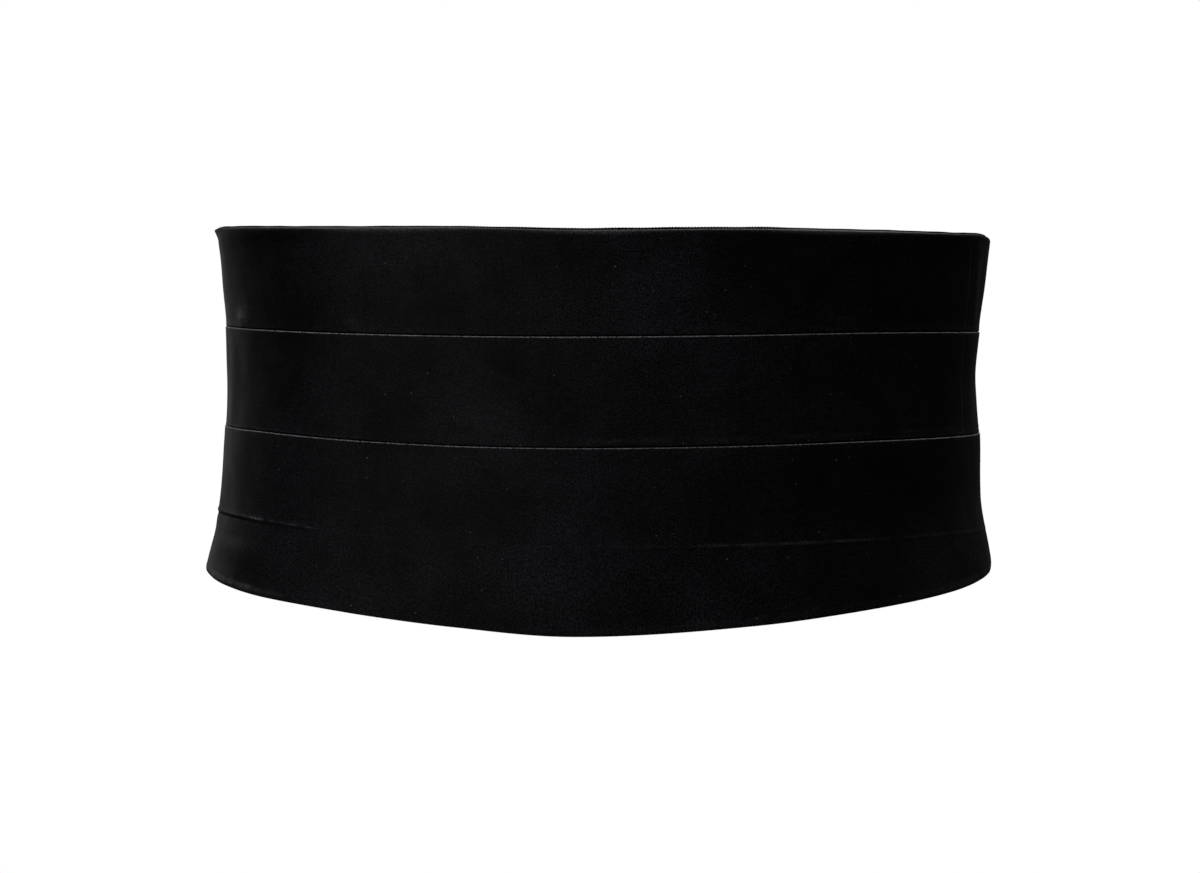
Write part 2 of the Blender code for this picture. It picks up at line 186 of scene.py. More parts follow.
# How strong the lowest crease and the flare of the hem are at each angle, and how strong the painted
# shade in the crease's groove is
Hollow = namedtuple("Hollow", "angle crease flare dark")
HOLLOWS = [
    Hollow(-97.0, 0.6, 0.0, 0.8),
    Hollow(-88.0, 0.75, 0.8, 0.8),
    Hollow(-75.0, 1.0, 1.0, 0.8),
    Hollow(-68.0, 1.0, 1.0, 0.7),
    Hollow(-62.0, 1.0, 1.0, 0.35),
    Hollow(-54.0, 0.75, 0.8, 0.1),
    Hollow(-46.0, 0.42, 0.2, 0.0),
    Hollow(-30.0, 0.16, 0.1, 0.0),
    Hollow(-12.0, 0.08, 0.1, 0.0),
    Hollow(10.0, 0.08, 0.1, 0.0),
    Hollow(24.0, 0.26, 0.1, 0.0),
    Hollow(36.0, 0.28, 0.1, 0.0),
    Hollow(48.0, 0.10, 0.1, 0.0),
    Hollow(60.0, 0.16, 0.2, 0.0),
    Hollow(75.0, 0.16, 0.3, 0.0),
    Hollow(97.0, 0.22, 0.0, 0.0),
]
CREASE_RIDGE = 0.00030
CREASE_GROOVE = 0.00026
CREASE_SPREAD = 0.0007
CREASE_DROP = 0.0015
# Painted highlight on the crease's ridge and painted shade in its groove, with their spreads
CREASE_HIGHLIGHT = 1.3
CREASE_HIGHLIGHT_SPREAD = 0.0005
CREASE_SHADE_SPREAD = 0.0013
# How much of the crease's painted highlight the painted shade in its groove takes away
CREASE_DULLED = 0.75
# Where the rows of the satin lie close, above and below the crease and above the lower pleat
FINE_ABOVE_CREASE = 0.004
FINE_BELOW_CREASE = 0.006
FINE_ABOVE_PLEAT = 0.007
FLARE_TALL = 0.0042
FLARE_OUT = 0.0011
# Painted highlight band along the hem, where its flare faces up
HEM_BAND = 0.0021
HEM_BAND_SPREAD = 0.0010
HEM_HIGHLIGHT = 0.45
# Painted highlight of the top roll, for each metre that it leans
ROLL_HIGHLIGHT = 300.0
# Strength of the painted highlight on creases, hem, ridges, streaks, puckers and the top roll, beside
# the folds' own
PAINTED_SHEEN = 0.42
# Painted highlight along each fold's edge
TOP_HIGHLIGHT = 0.09
UPPER_PLEAT_HIGHLIGHT = 1.0
LOWER_PLEAT_HIGHLIGHT = 0.70

# How much of its curl the hem has at each angle, where it turns in again at both sides
Curl = namedtuple("Curl", "angle share")
CURLS = [
    Curl(-112.0, 0.0),
    Curl(-102.0, 0.7),
    Curl(-92.0, 1.0),
    Curl(-78.0, 1.0),
    Curl(-66.0, 0.6),
    Curl(-54.0, 0.0),
    Curl(66.0, 0.0),
    Curl(78.0, 0.5),
    Curl(92.0, 0.7),
    Curl(102.0, 0.5),
    Curl(112.0, 0.0),
]
CURL_TALL = 0.0048
CURL_IN = 0.0015

# Puckers and soft dents: where each lies, its half-size round and up the front, how far it stands out,
# and how much painted highlight it gets, or below 0 how much painted shade
Pucker = namedtuple("Pucker", "angle height round up out shine")
PUCKERS = [
    Pucker(-68.3, 0.0205, 2.4, 0.0024, 0.00110, 0.45),
    Pucker(-39.0, 0.0197, 2.2, 0.0026, 0.00080, 0.16),
    Pucker(-43.0, 0.0250, 3.5, 0.0050, -0.00040, 0.0),
    Pucker(-56.0, 0.0515, 13.0, 0.0028, 0.00050, -0.60),
    Pucker(-76.0, 0.0400, 5.0, 0.0100, 0.00050, 0.0),
    Pucker(-64.0, 0.0300, 4.0, 0.0120, -0.00035, 0.0),
    Pucker(-53.0, 0.0280, 5.0, 0.0110, -0.00040, 0.0),
    Pucker(-22.0, 0.0380, 9.0, 0.0120, 0.00045, 0.0),
    Pucker(-7.0, 0.0380, 5.0, 0.0120, -0.00035, 0.0),
    Pucker(14.0, 0.0350, 8.0, 0.0120, 0.00035, 0.0),
    Pucker(36.0, 0.0330, 5.0, 0.0140, -0.00030, 0.0),
    Pucker(52.0, 0.0280, 7.0, 0.0120, -0.00030, 0.0),
    Pucker(-70.0, -0.0350, 6.0, 0.0080, 0.00040, 0.0),
    Pucker(-60.0, -0.0660, 6.0, 0.0060, 0.00035, 0.0),
    Pucker(-76.0, -0.0660, 5.0, 0.0060, 0.00030, 0.0),
    Pucker(-67.0, -0.0622, 9.0, 0.0030, 0.00000, 0.24),
    Pucker(-69.0, -0.0725, 7.0, 0.0040, 0.00000, 0.14),
    Pucker(60.0, -0.0320, 6.0, 0.0080, 0.00020, 0.0),
    Pucker(82.0, -0.0620, 5.0, 0.0080, 0.00040, 0.0),
    Pucker(0.0, -0.0720, 12.0, 0.0080, 0.00030, 0.0),
    Pucker(1.0, -0.0100, 14.0, 0.0600, 0.00000, 0.05),
    Pucker(-40.0, -0.0350, 26.0, 0.0420, 0.00000, -0.38),
]

# Long soft ridges and grooves that run up and down near the ends of the front
Ridge = namedtuple("Ridge", "low_angle high_angle low high round out")
RIDGE_FADE = 0.004
RIDGES = [
    Ridge(70.4, 69.0, 0.015, 0.050, 0.50, -0.00015),
    Ridge(75.0, 73.5, 0.015, 0.048, 2.00, 0.00030),
    Ridge(70.4, 70.4, -0.024, 0.015, 0.50, -0.00015),
    Ridge(75.0, 75.0, -0.024, 0.015, 2.40, 0.00020),
    Ridge(-76.0, -75.0, -0.022, 0.014, 3.0, 0.00035),
    Ridge(-70.0, -71.0, -0.022, 0.014, 2.8, -0.00015),
    Ridge(-84.0, -83.0, -0.060, 0.050, 3.0, 0.00020),
]
FINE_RIDGES = (67.5, 79.5)

# Painted highlight streaks near the ends of the front, drawn as the ridges are
Streak = namedtuple("Streak", "low_angle high_angle low high round shine")
STREAKS = [
    Streak(70.2, 68.6, 0.015, 0.050, 0.30, 0.16),
    Streak(70.2, 70.2, -0.024, 0.017, 0.30, 0.12),
    Streak(75.6, 73.2, 0.016, 0.044, 0.90, 0.34),
    Streak(83.0, 80.0, 0.018, 0.052, 8.0, 0.12),
    Streak(-69.0, -66.5, 0.019, 0.033, 2.2, 0.09),
    Streak(-80.0, -83.0, 0.020, 0.050, 4.0, 0.07),
]

# Faint ridges that the hidden folds press through the tiers, above each pleat, with a painted highlight
# along them
Impression = namedtuple("Impression", "pleat above spread out shine")
IMPRESSIONS = [
    Impression("upper_pleat", 0.0034, 0.0007, 0.00006, 0.03),
    Impression("lower_pleat", 0.0026, 0.0006, 0.00009, 0.17),
    Impression("lower_pleat", 0.0052, 0.0009, 0.00004, 0.00),
]

# Soft drag lines on each wing: heights at the seam and at the strap, spread, and how far they stand out
Drag = namedtuple("Drag", "at_seam at_strap spread out")
DRAGS = [
    Drag(0.034, 0.004, 0.0060, 0.00045),
    Drag(0.018, -0.004, 0.0045, -0.00040),
    Drag(-0.014, -0.013, 0.0050, 0.00035),
    Drag(-0.044, -0.022, 0.0060, -0.00045),
    Drag(-0.060, -0.030, 0.0050, 0.00035),
]

# How a wing's front edge turns in over the ends of the front's layers, in degrees past its start
Turn = namedtuple("Turn", "face_angle face_depth back_angle back_depth")
SEAM_TURNS = [
    Turn(0.00, 0.00500, 0.54, 0.00500),
    Turn(0.00, 0.00380, 0.54, 0.00380),
    Turn(0.00, 0.00240, 0.54, 0.00290),
    Turn(0.00, 0.00120, 0.56, 0.00250),
    Turn(0.05, 0.00055, 0.62, 0.00225),
    Turn(0.20, 0.00020, 0.75, 0.00208),
    Turn(0.45, 0.00003, 0.95, 0.00201),
]
SEAM_TURN_ENDS = 1.2
# The turn is shallow at the top edge and at the hem, where the front has fewer layers
SEAM_TURN_FACE = 0.00120
SEAM_TURN_BACK = 0.00225
SEAM_TURN_GROWS = (0.010, 0.025)


def spline(rows, column, at):
    """Values of a column at places along the first column, on a smooth curve through the rows."""
    keys = np.array([row[0] for row in rows])
    values = np.array([getattr(row, column) for row in rows])
    low = np.maximum(np.arange(len(keys)) - 1, 0)
    high = np.minimum(np.arange(len(keys)) + 1, len(keys) - 1)
    slopes = (values[high] - values[low]) / (keys[high] - keys[low])
    at = np.clip(at, keys[0], keys[-1])
    i = np.clip(np.searchsorted(keys, at, side="right") - 1, 0, len(keys) - 2)
    span = keys[i + 1] - keys[i]
    t = (at - keys[i]) / span
    start = (2 * t**3 - 3 * t**2 + 1) * values[i] + (t**3 - 2 * t**2 + t) * span * slopes[i]
    end = (3 * t**2 - 2 * t**3) * values[i + 1] + (t**3 - t**2) * span * slopes[i + 1]
    return start + end


def ease(t):
    """0 to 1 with a soft start and a soft end."""
    t = np.clip(t, 0.0, 1.0)
    return t * t * (3 - 2 * t)


def bell(distance):
    """1 on a crease's own line, falling softly to 0 on both sides."""
    return np.exp(-distance * distance)


def skin(angle, height):
    """Points of the outer skin in plan."""
    left, right, front, back = (spline(LEVELS, side, height) for side in Level._fields[1:])
    turn = np.radians(angle)
    half_width = (right + left) / 2 + (right - left) / 2 * np.sin(turn)
    half_depth = (front + back) / 2 + (front - back) / 2 * np.cos(turn)
    return half_width * np.sin(turn), -half_depth * np.cos(turn)


def put(angle, height, depth, level=None):
    """Points at a depth under the skin. The level is the height whose outline they follow."""
    level = height if level is None else level
    x, y = skin(angle, level)
    x_after, y_after = skin(angle + 0.5, level)
    x_before, y_before = skin(angle - 0.5, level)
    along_x, along_y = x_after - x_before, y_after - y_before
    length = np.hypot(along_x, along_y)
    spots = np.broadcast_arrays(x - depth * along_y / length, y + depth * along_x / length, height)
    return np.stack(spots, axis=-1)


def unevenness(angle, height, seed):
    """Soft waves of uneven length, from -1 to 1, that make a crease stronger and weaker on its way."""
    rng = np.random.default_rng(seed)
    total = 0.0 * angle
    for length in (7.0, 11.0, 17.0, 29.0):
        phase, slant = rng.uniform(0, 360), rng.uniform(-4000, 4000)
        total = total + np.sin(np.radians(360 * angle / length + phase + slant * height)) / 4
    return total


def meridian(angle):
    """The front's heights at each angle."""
    return Meridian(angle, *(spline(MERIDIANS, column, angle) for column in Meridian._fields[1:]))


def edge_lean(line, height):
    """How far the top edge's roll leans inwards at each point."""
    roll = np.clip((height - line.top) / spline(EDGE_ROLLS, "tall", line.angle) + 1, 0, 1)
    return spline(EDGE_ROLLS, "lean", line.angle) * roll * roll


def hem_curl(angle, over_hem):
    """How far the cloth turns in again above the hem, near both sides."""
    near = np.clip(1 - over_hem / CURL_TALL, 0, 1)
    return CURL_IN * spline(CURLS, "share", angle) * near * near


def crease_strength(angle):
    """How sharp the lowest crease is at each angle, stronger and weaker along its way."""
    return spline(HOLLOWS, "crease", angle) * (1 + 0.5 * unevenness(angle, 0.0, 3))


def dashes(angle, number):
    """Where a pressed-through ridge shows, from 0 to 1 along its way."""
    return ease(0.5 + 0.8 * unevenness(angle, 0.0, 10 + number))


def over_mark(line, height, number):
    """Height over a pressed-through ridge, in its own spreads."""
    mark = IMPRESSIONS[number]
    wobble = 0.0004 * unevenness(line.angle, 0.0, 20 + number)
    return (height - getattr(line, mark.pleat) - mark.above - wobble) / mark.spread


def upright_line(line, angle, height):
    """1 on a line that runs up the front, falling softly to 0 beside it and at both ends."""
    length = ease((height - line.low) / RIDGE_FADE) * ease((line.high - height) / RIDGE_FADE)
    share = (height - line.low) / (line.high - line.low)
    at = line.low_angle + (line.high_angle - line.low_angle) * share + 0.4 * np.sin(90 * height)
    return length * bell((angle - at) / line.round)


def over_spot(pucker, angle, height):
    """1 in the middle of a pucker, falling softly to 0 round it."""
    return bell((angle - pucker.angle) / pucker.round) * bell((height - pucker.height) / pucker.up)


def painted_sheen_and_shade(line, height):
    """How much painted highlight each place of the front gets, up to 1, or below 0 how much painted
    shade it gets.
    """
    patchy = 0.4 + 0.6 * ease(0.5 + 0.9 * unevenness(line.angle * 2.3, 0.0, 7))
    # Painted highlight on the crease's ridge, and painted shade in its groove
    dark = spline(HOLLOWS, "dark", line.angle)
    ridge = bell((height - line.crease) / CREASE_HIGHLIGHT_SPREAD)
    shine = CREASE_HIGHLIGHT * (1 - CREASE_DULLED * dark) * crease_strength(line.angle) * patchy * ridge
    shine = shine - dark * bell((height - line.crease + CREASE_DROP) / CREASE_SHADE_SPREAD)
    # Painted highlight band along the hem
    hem = spline(HOLLOWS, "flare", line.angle) * bell((height - line.hem - HEM_BAND) / HEM_BAND_SPREAD)
    shine = shine + HEM_HIGHLIGHT * patchy * hem
    # Painted highlight along the pressed-through ridges and the streaks, and painted highlight or shade
    # on the puckers
    for number, mark in enumerate(IMPRESSIONS):
        shows = patchy * dashes(line.angle, number)
        shine = shine + mark.shine * shows * bell(over_mark(line, height, number))
    for streak in STREAKS:
        shine = shine + streak.shine * upright_line(streak, line.angle, height)
    for pucker in PUCKERS:
        shine = shine + pucker.shine * over_spot(pucker, line.angle, height)
    # Painted highlight on the top roll where it leans inwards
    roll = bell((height - line.top) / (0.45 * spline(EDGE_ROLLS, "tall", line.angle)) + 0.7)
    shine = shine + ROLL_HIGHLIGHT * np.maximum(spline(EDGE_ROLLS, "lean", line.angle), 0) * roll
    # Painted highlight is scaled down, while painted shade is kept as it is
    return np.where(shine > 0, PAINTED_SHEEN * shine, shine)


def crease_relief(line, height):
    """The soft ridge and groove over the lower pleat's hidden fold, and the hem's flare below them."""
    strength = crease_strength(line.angle)
    ridge = bell((height - line.crease) / CREASE_SPREAD)
    groove = bell((height - line.crease + CREASE_DROP) / CREASE_SPREAD)
    flare = ease((line.hem + FLARE_TALL - height) / FLARE_TALL)
    hem = spline(HOLLOWS, "flare", line.angle) * FLARE_OUT * flare
    return strength * (CREASE_RIDGE * ridge - CREASE_GROOVE * groove) + hem


def dimples(angle, height):
    """Soft hollows and swells of worn cloth, from -1 to 1, that run in every direction."""
    rng = np.random.default_rng(32)
    total = 0.0
    for length in (0.014, 0.018, 0.023, 0.030, 0.038, 0.050):
        heading, phase = rng.uniform(0, math.pi), rng.uniform(0, math.tau)
        gone = math.cos(heading) * WAIST_HALF_WIDTH * np.radians(angle) + math.sin(heading) * height
        total = total + length * np.sin(math.tau * gone / length + phase) / 0.173
    return total


def worn_relief(angle, height):
    """Puckers, long ridges and a slight unevenness, as worn satin has."""
    out = 0.00022 * dimples(angle, height)
    for pucker in PUCKERS:
        out = out + pucker.out * over_spot(pucker, angle, height)
    for ridge in RIDGES:
        out = out + ridge.out * upright_line(ridge, angle, height)
    return out


def satin_relief(line, height):
    """How far the satin stands out of the plain skin at each point of the front."""
    out = crease_relief(line, height) + worn_relief(line.angle, height) + lean_and_curl(line, height)
    for fold, foot in ((line.upper_pleat, line.lower_pleat), (line.lower_pleat, line.crease)):
        above = ease(1 - (height - fold) / TIER_RISE)
        below = ease((height - foot) / (fold - foot))
        out = out + TIER_STAND * np.where(height > fold, above, below)
    for number, mark in enumerate(IMPRESSIONS):
        out = out + mark.out * dashes(line.angle, number) * bell(over_mark(line, height, number))
    return out


def lean_and_curl(line, height):
    """How far satin and lining go with the top edge's lean and the hem's curl."""
    return -edge_lean(line, height) - hem_curl(line.angle, height - line.hem)


class Section:
    """A strip of cloth seen end-on: the points of its face and of its back, as depth and height."""

    def __init__(self, thick, pressed):
        self.thick = thick
        self.pressed = pressed
        self.inside = pressed / 2
        self.outside = thick + pressed / 2
        self.face = []
        self.back = []
        # Painted highlight, or below 0 painted shade, of each row
        self.painted_light_rows = []

    def layer(self, count):
        """Depth of the outer side of a layer, the skin's own layer being 0."""
        return count * (self.thick + self.pressed)

    def bend(self, centre, radii, turns, steps, edge=0.0):
        """Adds an arc. The radii are the face's and the back's. 0 degrees is inwards and 90 is up.

        The edge is how strong the painted highlight is along the arc's middle. Below 0 it is how much
        painted shade darkens the cloth as it rolls in.
        """
        for step in range(steps + 1):
            turn = math.radians(turns[0] + (turns[1] - turns[0]) * step / steps)
            near = min(step, steps - step) / (steps / 4) if edge > 0 else 2 * step / steps
            self.painted_light_rows.append(edge * float(ease(near)))
            inwards, up = math.cos(turn), math.sin(turn)
            for points, radius in zip((self.face, self.back), radii):
                points.append((centre[0] + radius * inwards, centre[1] + radius * up))

    def run_down(self, heights, outer=0.0):
        """Adds a stretch that goes down with its face outwards."""
        for height in heights:
            self.face.append((outer, height))
            self.back.append((outer + self.thick, height))
            self.painted_light_rows.append(0.0)

    def run_up(self, heights, outer):
        """Adds a stretch that goes up with its face inwards."""
        for height in heights:
            self.face.append((outer + self.thick, height))
            self.back.append((outer, height))
            self.painted_light_rows.append(0.0)

    def fold_over(self, height, edge):
        """Fold that faces up, from the layer behind over to the layer in front, with a painted highlight
        along it.
        """
        self.bend((self.outside, height - self.outside), (self.outside, self.inside), (0, 180), 8, edge)

    def tuck(self, fold, inner_fold, edge):
        """One knife pleat: the tier above rolls in over the fold, goes down behind it and comes back."""
        near = self.outside + self.pressed
        middle = near + self.thick / 2
        cosine, sine = math.cos(math.radians(ROLL_ANGLE)), math.sin(math.radians(ROLL_ANGLE))
        roll = (self.outside - self.thick / 2 + middle * cosine) / (1 - cosine)
        fold_centre = (self.outside, fold - self.outside)
        apart = middle + roll
        roll_centre = (fold_centre[0] + apart * cosine, fold_centre[1] + apart * sine)
        roll_radii = (roll + self.thick / 2, roll - self.thick / 2)
        # The roll-in over the fold gets painted shade
        self.bend(roll_centre, roll_radii, (180, 180 + ROLL_ANGLE), 5, -1.0)
        self.bend(fold_centre, (near, near + self.thick), (ROLL_ANGLE * 0.7, 0), 3)
        low = inner_fold + self.outside
        self.run_down(shares(fold_centre[1], low, 3), self.layer(2))
        self.bend((self.layer(1) + self.outside, low), (self.inside, self.outside), (0, -180), 4)
        self.run_up(shares(low, fold_centre[1], 3), self.layer(1))
        self.fold_over(fold, edge)


def shares(high, low, count):
    """Heights that part a stretch evenly, without its ends."""
    return [high + (low - high) * step / (count + 1) for step in range(1, count + 1)]


def stations(high, low):
    """Heights a station of satin apart."""
    return shares(high, low, max(1, round(float(np.mean(high - low)) / SATIN_STATION)))


def satin_section(line):
    """The folded satin, from its turned top edge to its turned hem."""
    section = Section(SATIN_THICK, PRESSED)
    roll_starts = 0.0012
    roll_ends = 0.0045
    crease_top, crease_bottom = line.crease + FINE_ABOVE_CREASE, line.crease - FINE_BELOW_CREASE
    pleat_top = line.lower_pleat + FINE_ABOVE_PLEAT
    section.run_up([line.top - TURNED_EDGE, line.top - TURNED_EDGE / 2], section.layer(1))
    # Each fold's edge gets a painted highlight
    section.fold_over(line.top, TOP_HIGHLIGHT)
    section.run_down(shares(line.top - section.outside, line.top - roll_ends, 9))
    section.run_down(stations(line.top - roll_ends, line.upper_pleat + roll_starts))
    section.tuck(line.upper_pleat, line.lower_pleat + UNDERLAY_CLEAR, UPPER_PLEAT_HIGHLIGHT)
    section.run_down(stations(line.upper_pleat, pleat_top))
    section.run_down(shares(pleat_top, line.lower_pleat + roll_starts, 9))
    section.tuck(line.lower_pleat, line.crease, LOWER_PLEAT_HIGHLIGHT)
    section.run_down(stations(line.lower_pleat, crease_top))
    section.run_down(shares(crease_top, crease_bottom, 24))
    section.run_down(stations(crease_bottom, line.hem + FLARE_TALL))
    section.run_down(shares(line.hem + FLARE_TALL, line.hem + section.outside, 7))
    hem_centre = (section.outside, line.hem + section.outside)
    section.bend(hem_centre, (section.outside, section.inside), (180, 360), 6)
    section.run_up([line.hem + TURNED_EDGE / 2, line.hem + TURNED_EDGE], section.layer(1))
    return section


BEHIND_EDGES = 2 * (SATIN_THICK + PRESSED)
BEHIND_PLEATS = 3 * (SOLID_WALL + SOLID_GAP) + SOLID_WALL - LINING_THICK


def lining_section(line):
    """The lining: close behind the turned edges, and behind the pleats' hidden layers in between."""
    section = Section(LINING_THICK, PRESSED)
    rows = [
        (BEHIND_EDGES, line.top + 0.0001),
        (BEHIND_EDGES, line.top - 0.0020),
        (BEHIND_EDGES + 0.0006, line.top - 0.0060),
        (BEHIND_EDGES + 0.0016, line.top - TURNED_EDGE),
        (BEHIND_EDGES + 0.0022, line.upper_pleat + 0.0120),
        (BEHIND_PLEATS, line.upper_pleat + 0.0015),
        (BEHIND_PLEATS, (line.upper_pleat + line.lower_pleat) / 2),
        (BEHIND_PLEATS, line.lower_pleat),
        (BEHIND_PLEATS, (line.lower_pleat + line.crease) / 2),
        (BEHIND_PLEATS, line.crease - 0.0010),
        (BEHIND_EDGES + 0.0020, line.crease - 0.0080),
        (BEHIND_EDGES + 0.0010, line.hem + 0.0070),
        (BEHIND_EDGES, line.hem + 0.0014),
    ]
    for (depth, height), (next_depth, next_height) in zip(rows, rows[1:]):
        for share in (0, 1 / 3, 2 / 3):
            eased_depth = depth + (next_depth - depth) * ease(share)
            section.run_down([height + (next_height - height) * share], eased_depth)
    section.run_down([rows[-1][1]], rows[-1][0])
    return section


def cloth(name, face, back, material, pressed=None):
    """Closed thin cloth between two grids of points, with a map in metres and its painted highlight and
    shade.
    """
    columns, rows = face.shape[:2]
    index = np.arange(2 * columns * rows).reshape(2, columns, rows)
    outer, inner = index

    def quads(a, b, c, d):
        return np.stack([a.ravel(), b.ravel(), c.ravel(), d.ravel()], axis=1)

    faces = np.concatenate([
        quads(outer[:-1, :-1], outer[1:, :-1], outer[1:, 1:], outer[:-1, 1:]),
        quads(inner[:-1, :-1], inner[:-1, 1:], inner[1:, 1:], inner[1:, :-1]),
        quads(outer[:-1, 0], inner[:-1, 0], inner[1:, 0], outer[1:, 0]),
        quads(outer[:-1, -1], outer[1:, -1], inner[1:, -1], inner[:-1, -1]),
        quads(outer[0, :-1], outer[0, 1:], inner[0, 1:], inner[0, :-1]),
        quads(outer[-1, :-1], inner[-1, :-1], inner[-1, 1:], outer[-1, 1:]),
    ])
    mesh = bpy.data.meshes.new(name)
    points = np.concatenate([face.reshape(-1, 3), back.reshape(-1, 3)])
    mesh.from_pydata(points.tolist(), [], faces.tolist())
    middle = (face + back) / 2
    across, down = np.zeros((columns, rows)), np.zeros((columns, rows))
    across[1:] = np.cumsum(np.linalg.norm(np.diff(middle, axis=0), axis=2).mean(axis=1))[:, None]
    down[:, 1:] = np.cumsum(np.linalg.norm(np.diff(middle, axis=1), axis=2).mean(axis=0))[None, :]
    spots = np.tile(np.stack([across, down], axis=-1).reshape(-1, 2), (2, 1))
    corners = np.zeros(len(mesh.loops), dtype=np.int32)
    mesh.loops.foreach_get("vertex_index", corners)
    mesh.uv_layers.new(name="cloth").uv.foreach_set("vector", spots[corners].ravel())
    # The pressed attribute holds painted highlight, and below 0 painted shade
    if pressed is not None:
        marks = mesh.attributes.new("pressed", "FLOAT", "POINT")
        marks.data.foreach_set("value", np.tile(pressed.ravel(), 2))
    return piece_of(name, mesh, material)


def piece_of(name, mesh, material):
    """Object from a closed mesh, with its faces turned outwards and shaded smooth."""
    shape = bmesh.new()
    shape.from_mesh(mesh)
    bmesh.ops.recalc_face_normals(shape, faces=shape.faces)
    shape.to_mesh(mesh)
    shape.free()
    mesh.shade_smooth()
    mesh.materials.append(material)
    piece = bpy.data.objects.new(name, mesh)
    bpy.context.scene.collection.objects.link(piece)
    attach(piece, "root")
    return piece


def front_grid(angle, section_of, relief_of):
    """Face and back points of cloth that goes round the front, its section worked out at each angle, and
    the painted highlight and shade of each point.
    """
    line = meridian(angle)
    section = section_of(line)
    grids = []
    for points in (section.face, section.back):
        rows = [put(angle, height, depth - relief_of(line, height)) for depth, height in points]
        grids.append(np.stack(rows, axis=1))
    # Painted highlight and painted shade of each point: the bends' own, and on the outer layer the
    # front's painted sheen and shade
    pressed = []
    for mark, (depth, height) in zip(section.painted_light_rows, section.face):
        worn = painted_sheen_and_shade(line, height) if depth == 0 else 0 * angle
        pressed.append(mark + worn)
    return *grids, np.clip(np.stack(pressed, axis=1), -1, 1)


def front_satin(material):
    """The pleated front: one cloth that goes over its edges and through both pleats."""
    even = np.linspace(-SIDE_SEAM, SIDE_SEAM, round(2 * SIDE_SEAM / SATIN_COLUMN))
    fine = np.arange(*FINE_RIDGES, NEAR_SEAM_COLUMN)
    between = even[(even < FINE_RIDGES[0]) | (even > FINE_RIDGES[1])]
    angle = np.sort(np.concatenate([between, fine]))
    face, back, pressed = front_grid(angle, satin_section, satin_relief)
    piece = cloth("front_satin", face, back, material, pressed)
    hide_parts("front_pleats")
    return piece


def ribbed_edge(material):
    """The lining's ribbed edge, which shows as a fine comb over the top fold."""
    ribs_round = round(RIB_CUT[0] / RIB)
    angle = np.linspace(-SIDE_SEAM, SIDE_SEAM, 4 * ribs_round + 1)
    line = meridian(angle)
    wave = (1 + np.cos(math.tau * np.arange(angle.size) / 4)) / 2
    shows = LINING_SHOWS + LINING_PEEKS * bell((angle - LINING_PEEKS_AT) / LINING_PEEKS_ROUND)
    rise = (0.0001 + shows * ease((90 - np.abs(angle)) / 14)) * (0.8 + 0.2 * unevenness(angle, 0.0, 41))
    grids = []
    for inner in (False, True):
        rows = []
        for share in (1.0, 0.8, 0.4, 0.0, -2.0, -5.0):
            notch, rounded = (RIB_NOTCH, 0.3) if share == 1.0 else (0.0, 1.0)
            height = line.top + 0.0001 + rise * share * (1 - notch * (1 - wave))
            half = (LINING_THICK / 2 + RIB_DEPTH * wave) * rounded
            middle = BEHIND_EDGES + LINING_THICK / 2 + RIB_DEPTH
            depth = middle + (half if inner else -half)
            rows.append(put(angle, height, depth + edge_lean(line, height)))
        grids.append(np.stack(rows, axis=1))
    piece = cloth("lining_edge", *grids, material)
    return piece


def front_lining(material, edge):
    """The lining behind the whole front."""
    angle = np.linspace(-SIDE_SEAM, SIDE_SEAM, 160)
    face, back = front_grid(angle, lining_section, lean_and_curl)[:2]
    piece = cloth("lining", face, back, material)
    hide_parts("front_lining")
    return piece


def wing_angle(share):
    """Angle of a place on a wing, from the end of its seam turn at 0 to the strap at 1."""
    start = WING_START + SEAM_TURN_ENDS
    return start + (WING_END - start) * share


def wing_edges(side, angle):
    """Top and bottom of a wing at each angle."""
    seam = meridian(side * SIDE_SEAM)
    taper = ease((angle - WING_START) / (WING_END - WING_START))
    top = seam.top + (STRAP_MIDDLE + WING_END_HEIGHT / 2 - seam.top) * taper
    bottom = seam.hem + (STRAP_MIDDLE - WING_END_HEIGHT / 2 - seam.hem) * taper
    return top, bottom


# Distances from a wing's turned edge at which its rows lie
WING_EDGE_ROWS = (0.0, 0.0001, 0.0003, 0.0006, 0.0009, 0.0016, 0.0024, 0.0032, 0.0040, 0.0050)


def wing_rows(top, bottom):
    """Heights down a wing, close together at both turned edges."""
    near = (*WING_EDGE_ROWS, WING_TURNED)
    upper = [top - step for step in near]
    lower = [bottom + step for step in reversed(near)]
    return [*upper, *shares(upper[-1], lower[0], 34), *lower]


def rounded_inset(distance):
    """How far a turned edge has rounded in, at a distance from it."""
    short = np.clip(WING_EDGE_RADIUS - distance, 0, WING_EDGE_RADIUS)
    return WING_EDGE_RADIUS - np.sqrt(WING_EDGE_RADIUS**2 - short**2)


def wing_relief(side, share, height, from_edge):
    """Drag lines from the strap to the seam, and a dip under the topstitching."""
    out = 0.0
    for number, drag in enumerate(DRAGS):
        bow = 0.004 * np.sin(math.pi * share) * math.sin(3 * number + side)
        along = drag.at_seam + (drag.at_strap - drag.at_seam) * share + bow
        strength = ease(share / 0.25) * (1 - 0.6 * ease((share - 0.5) / 0.5))
        out = out + drag.out * strength * bell((height - along) / drag.spread)
    out = out * ease(from_edge / 0.006)
    seed = 51 if side > 0 else 52
    out = out + 0.00012 * unevenness(share * 60, height, seed) * ease(from_edge / 0.004)
    ripple = np.sin(share * 260 + 5 * np.sin(share * 23))
    gathers = 0.00006 * ripple * bell((from_edge - 0.0050) / 0.0020)
    return out + gathers - TOPSTITCH_DIP * bell((from_edge - TOPSTITCH_IN) / 0.0008)


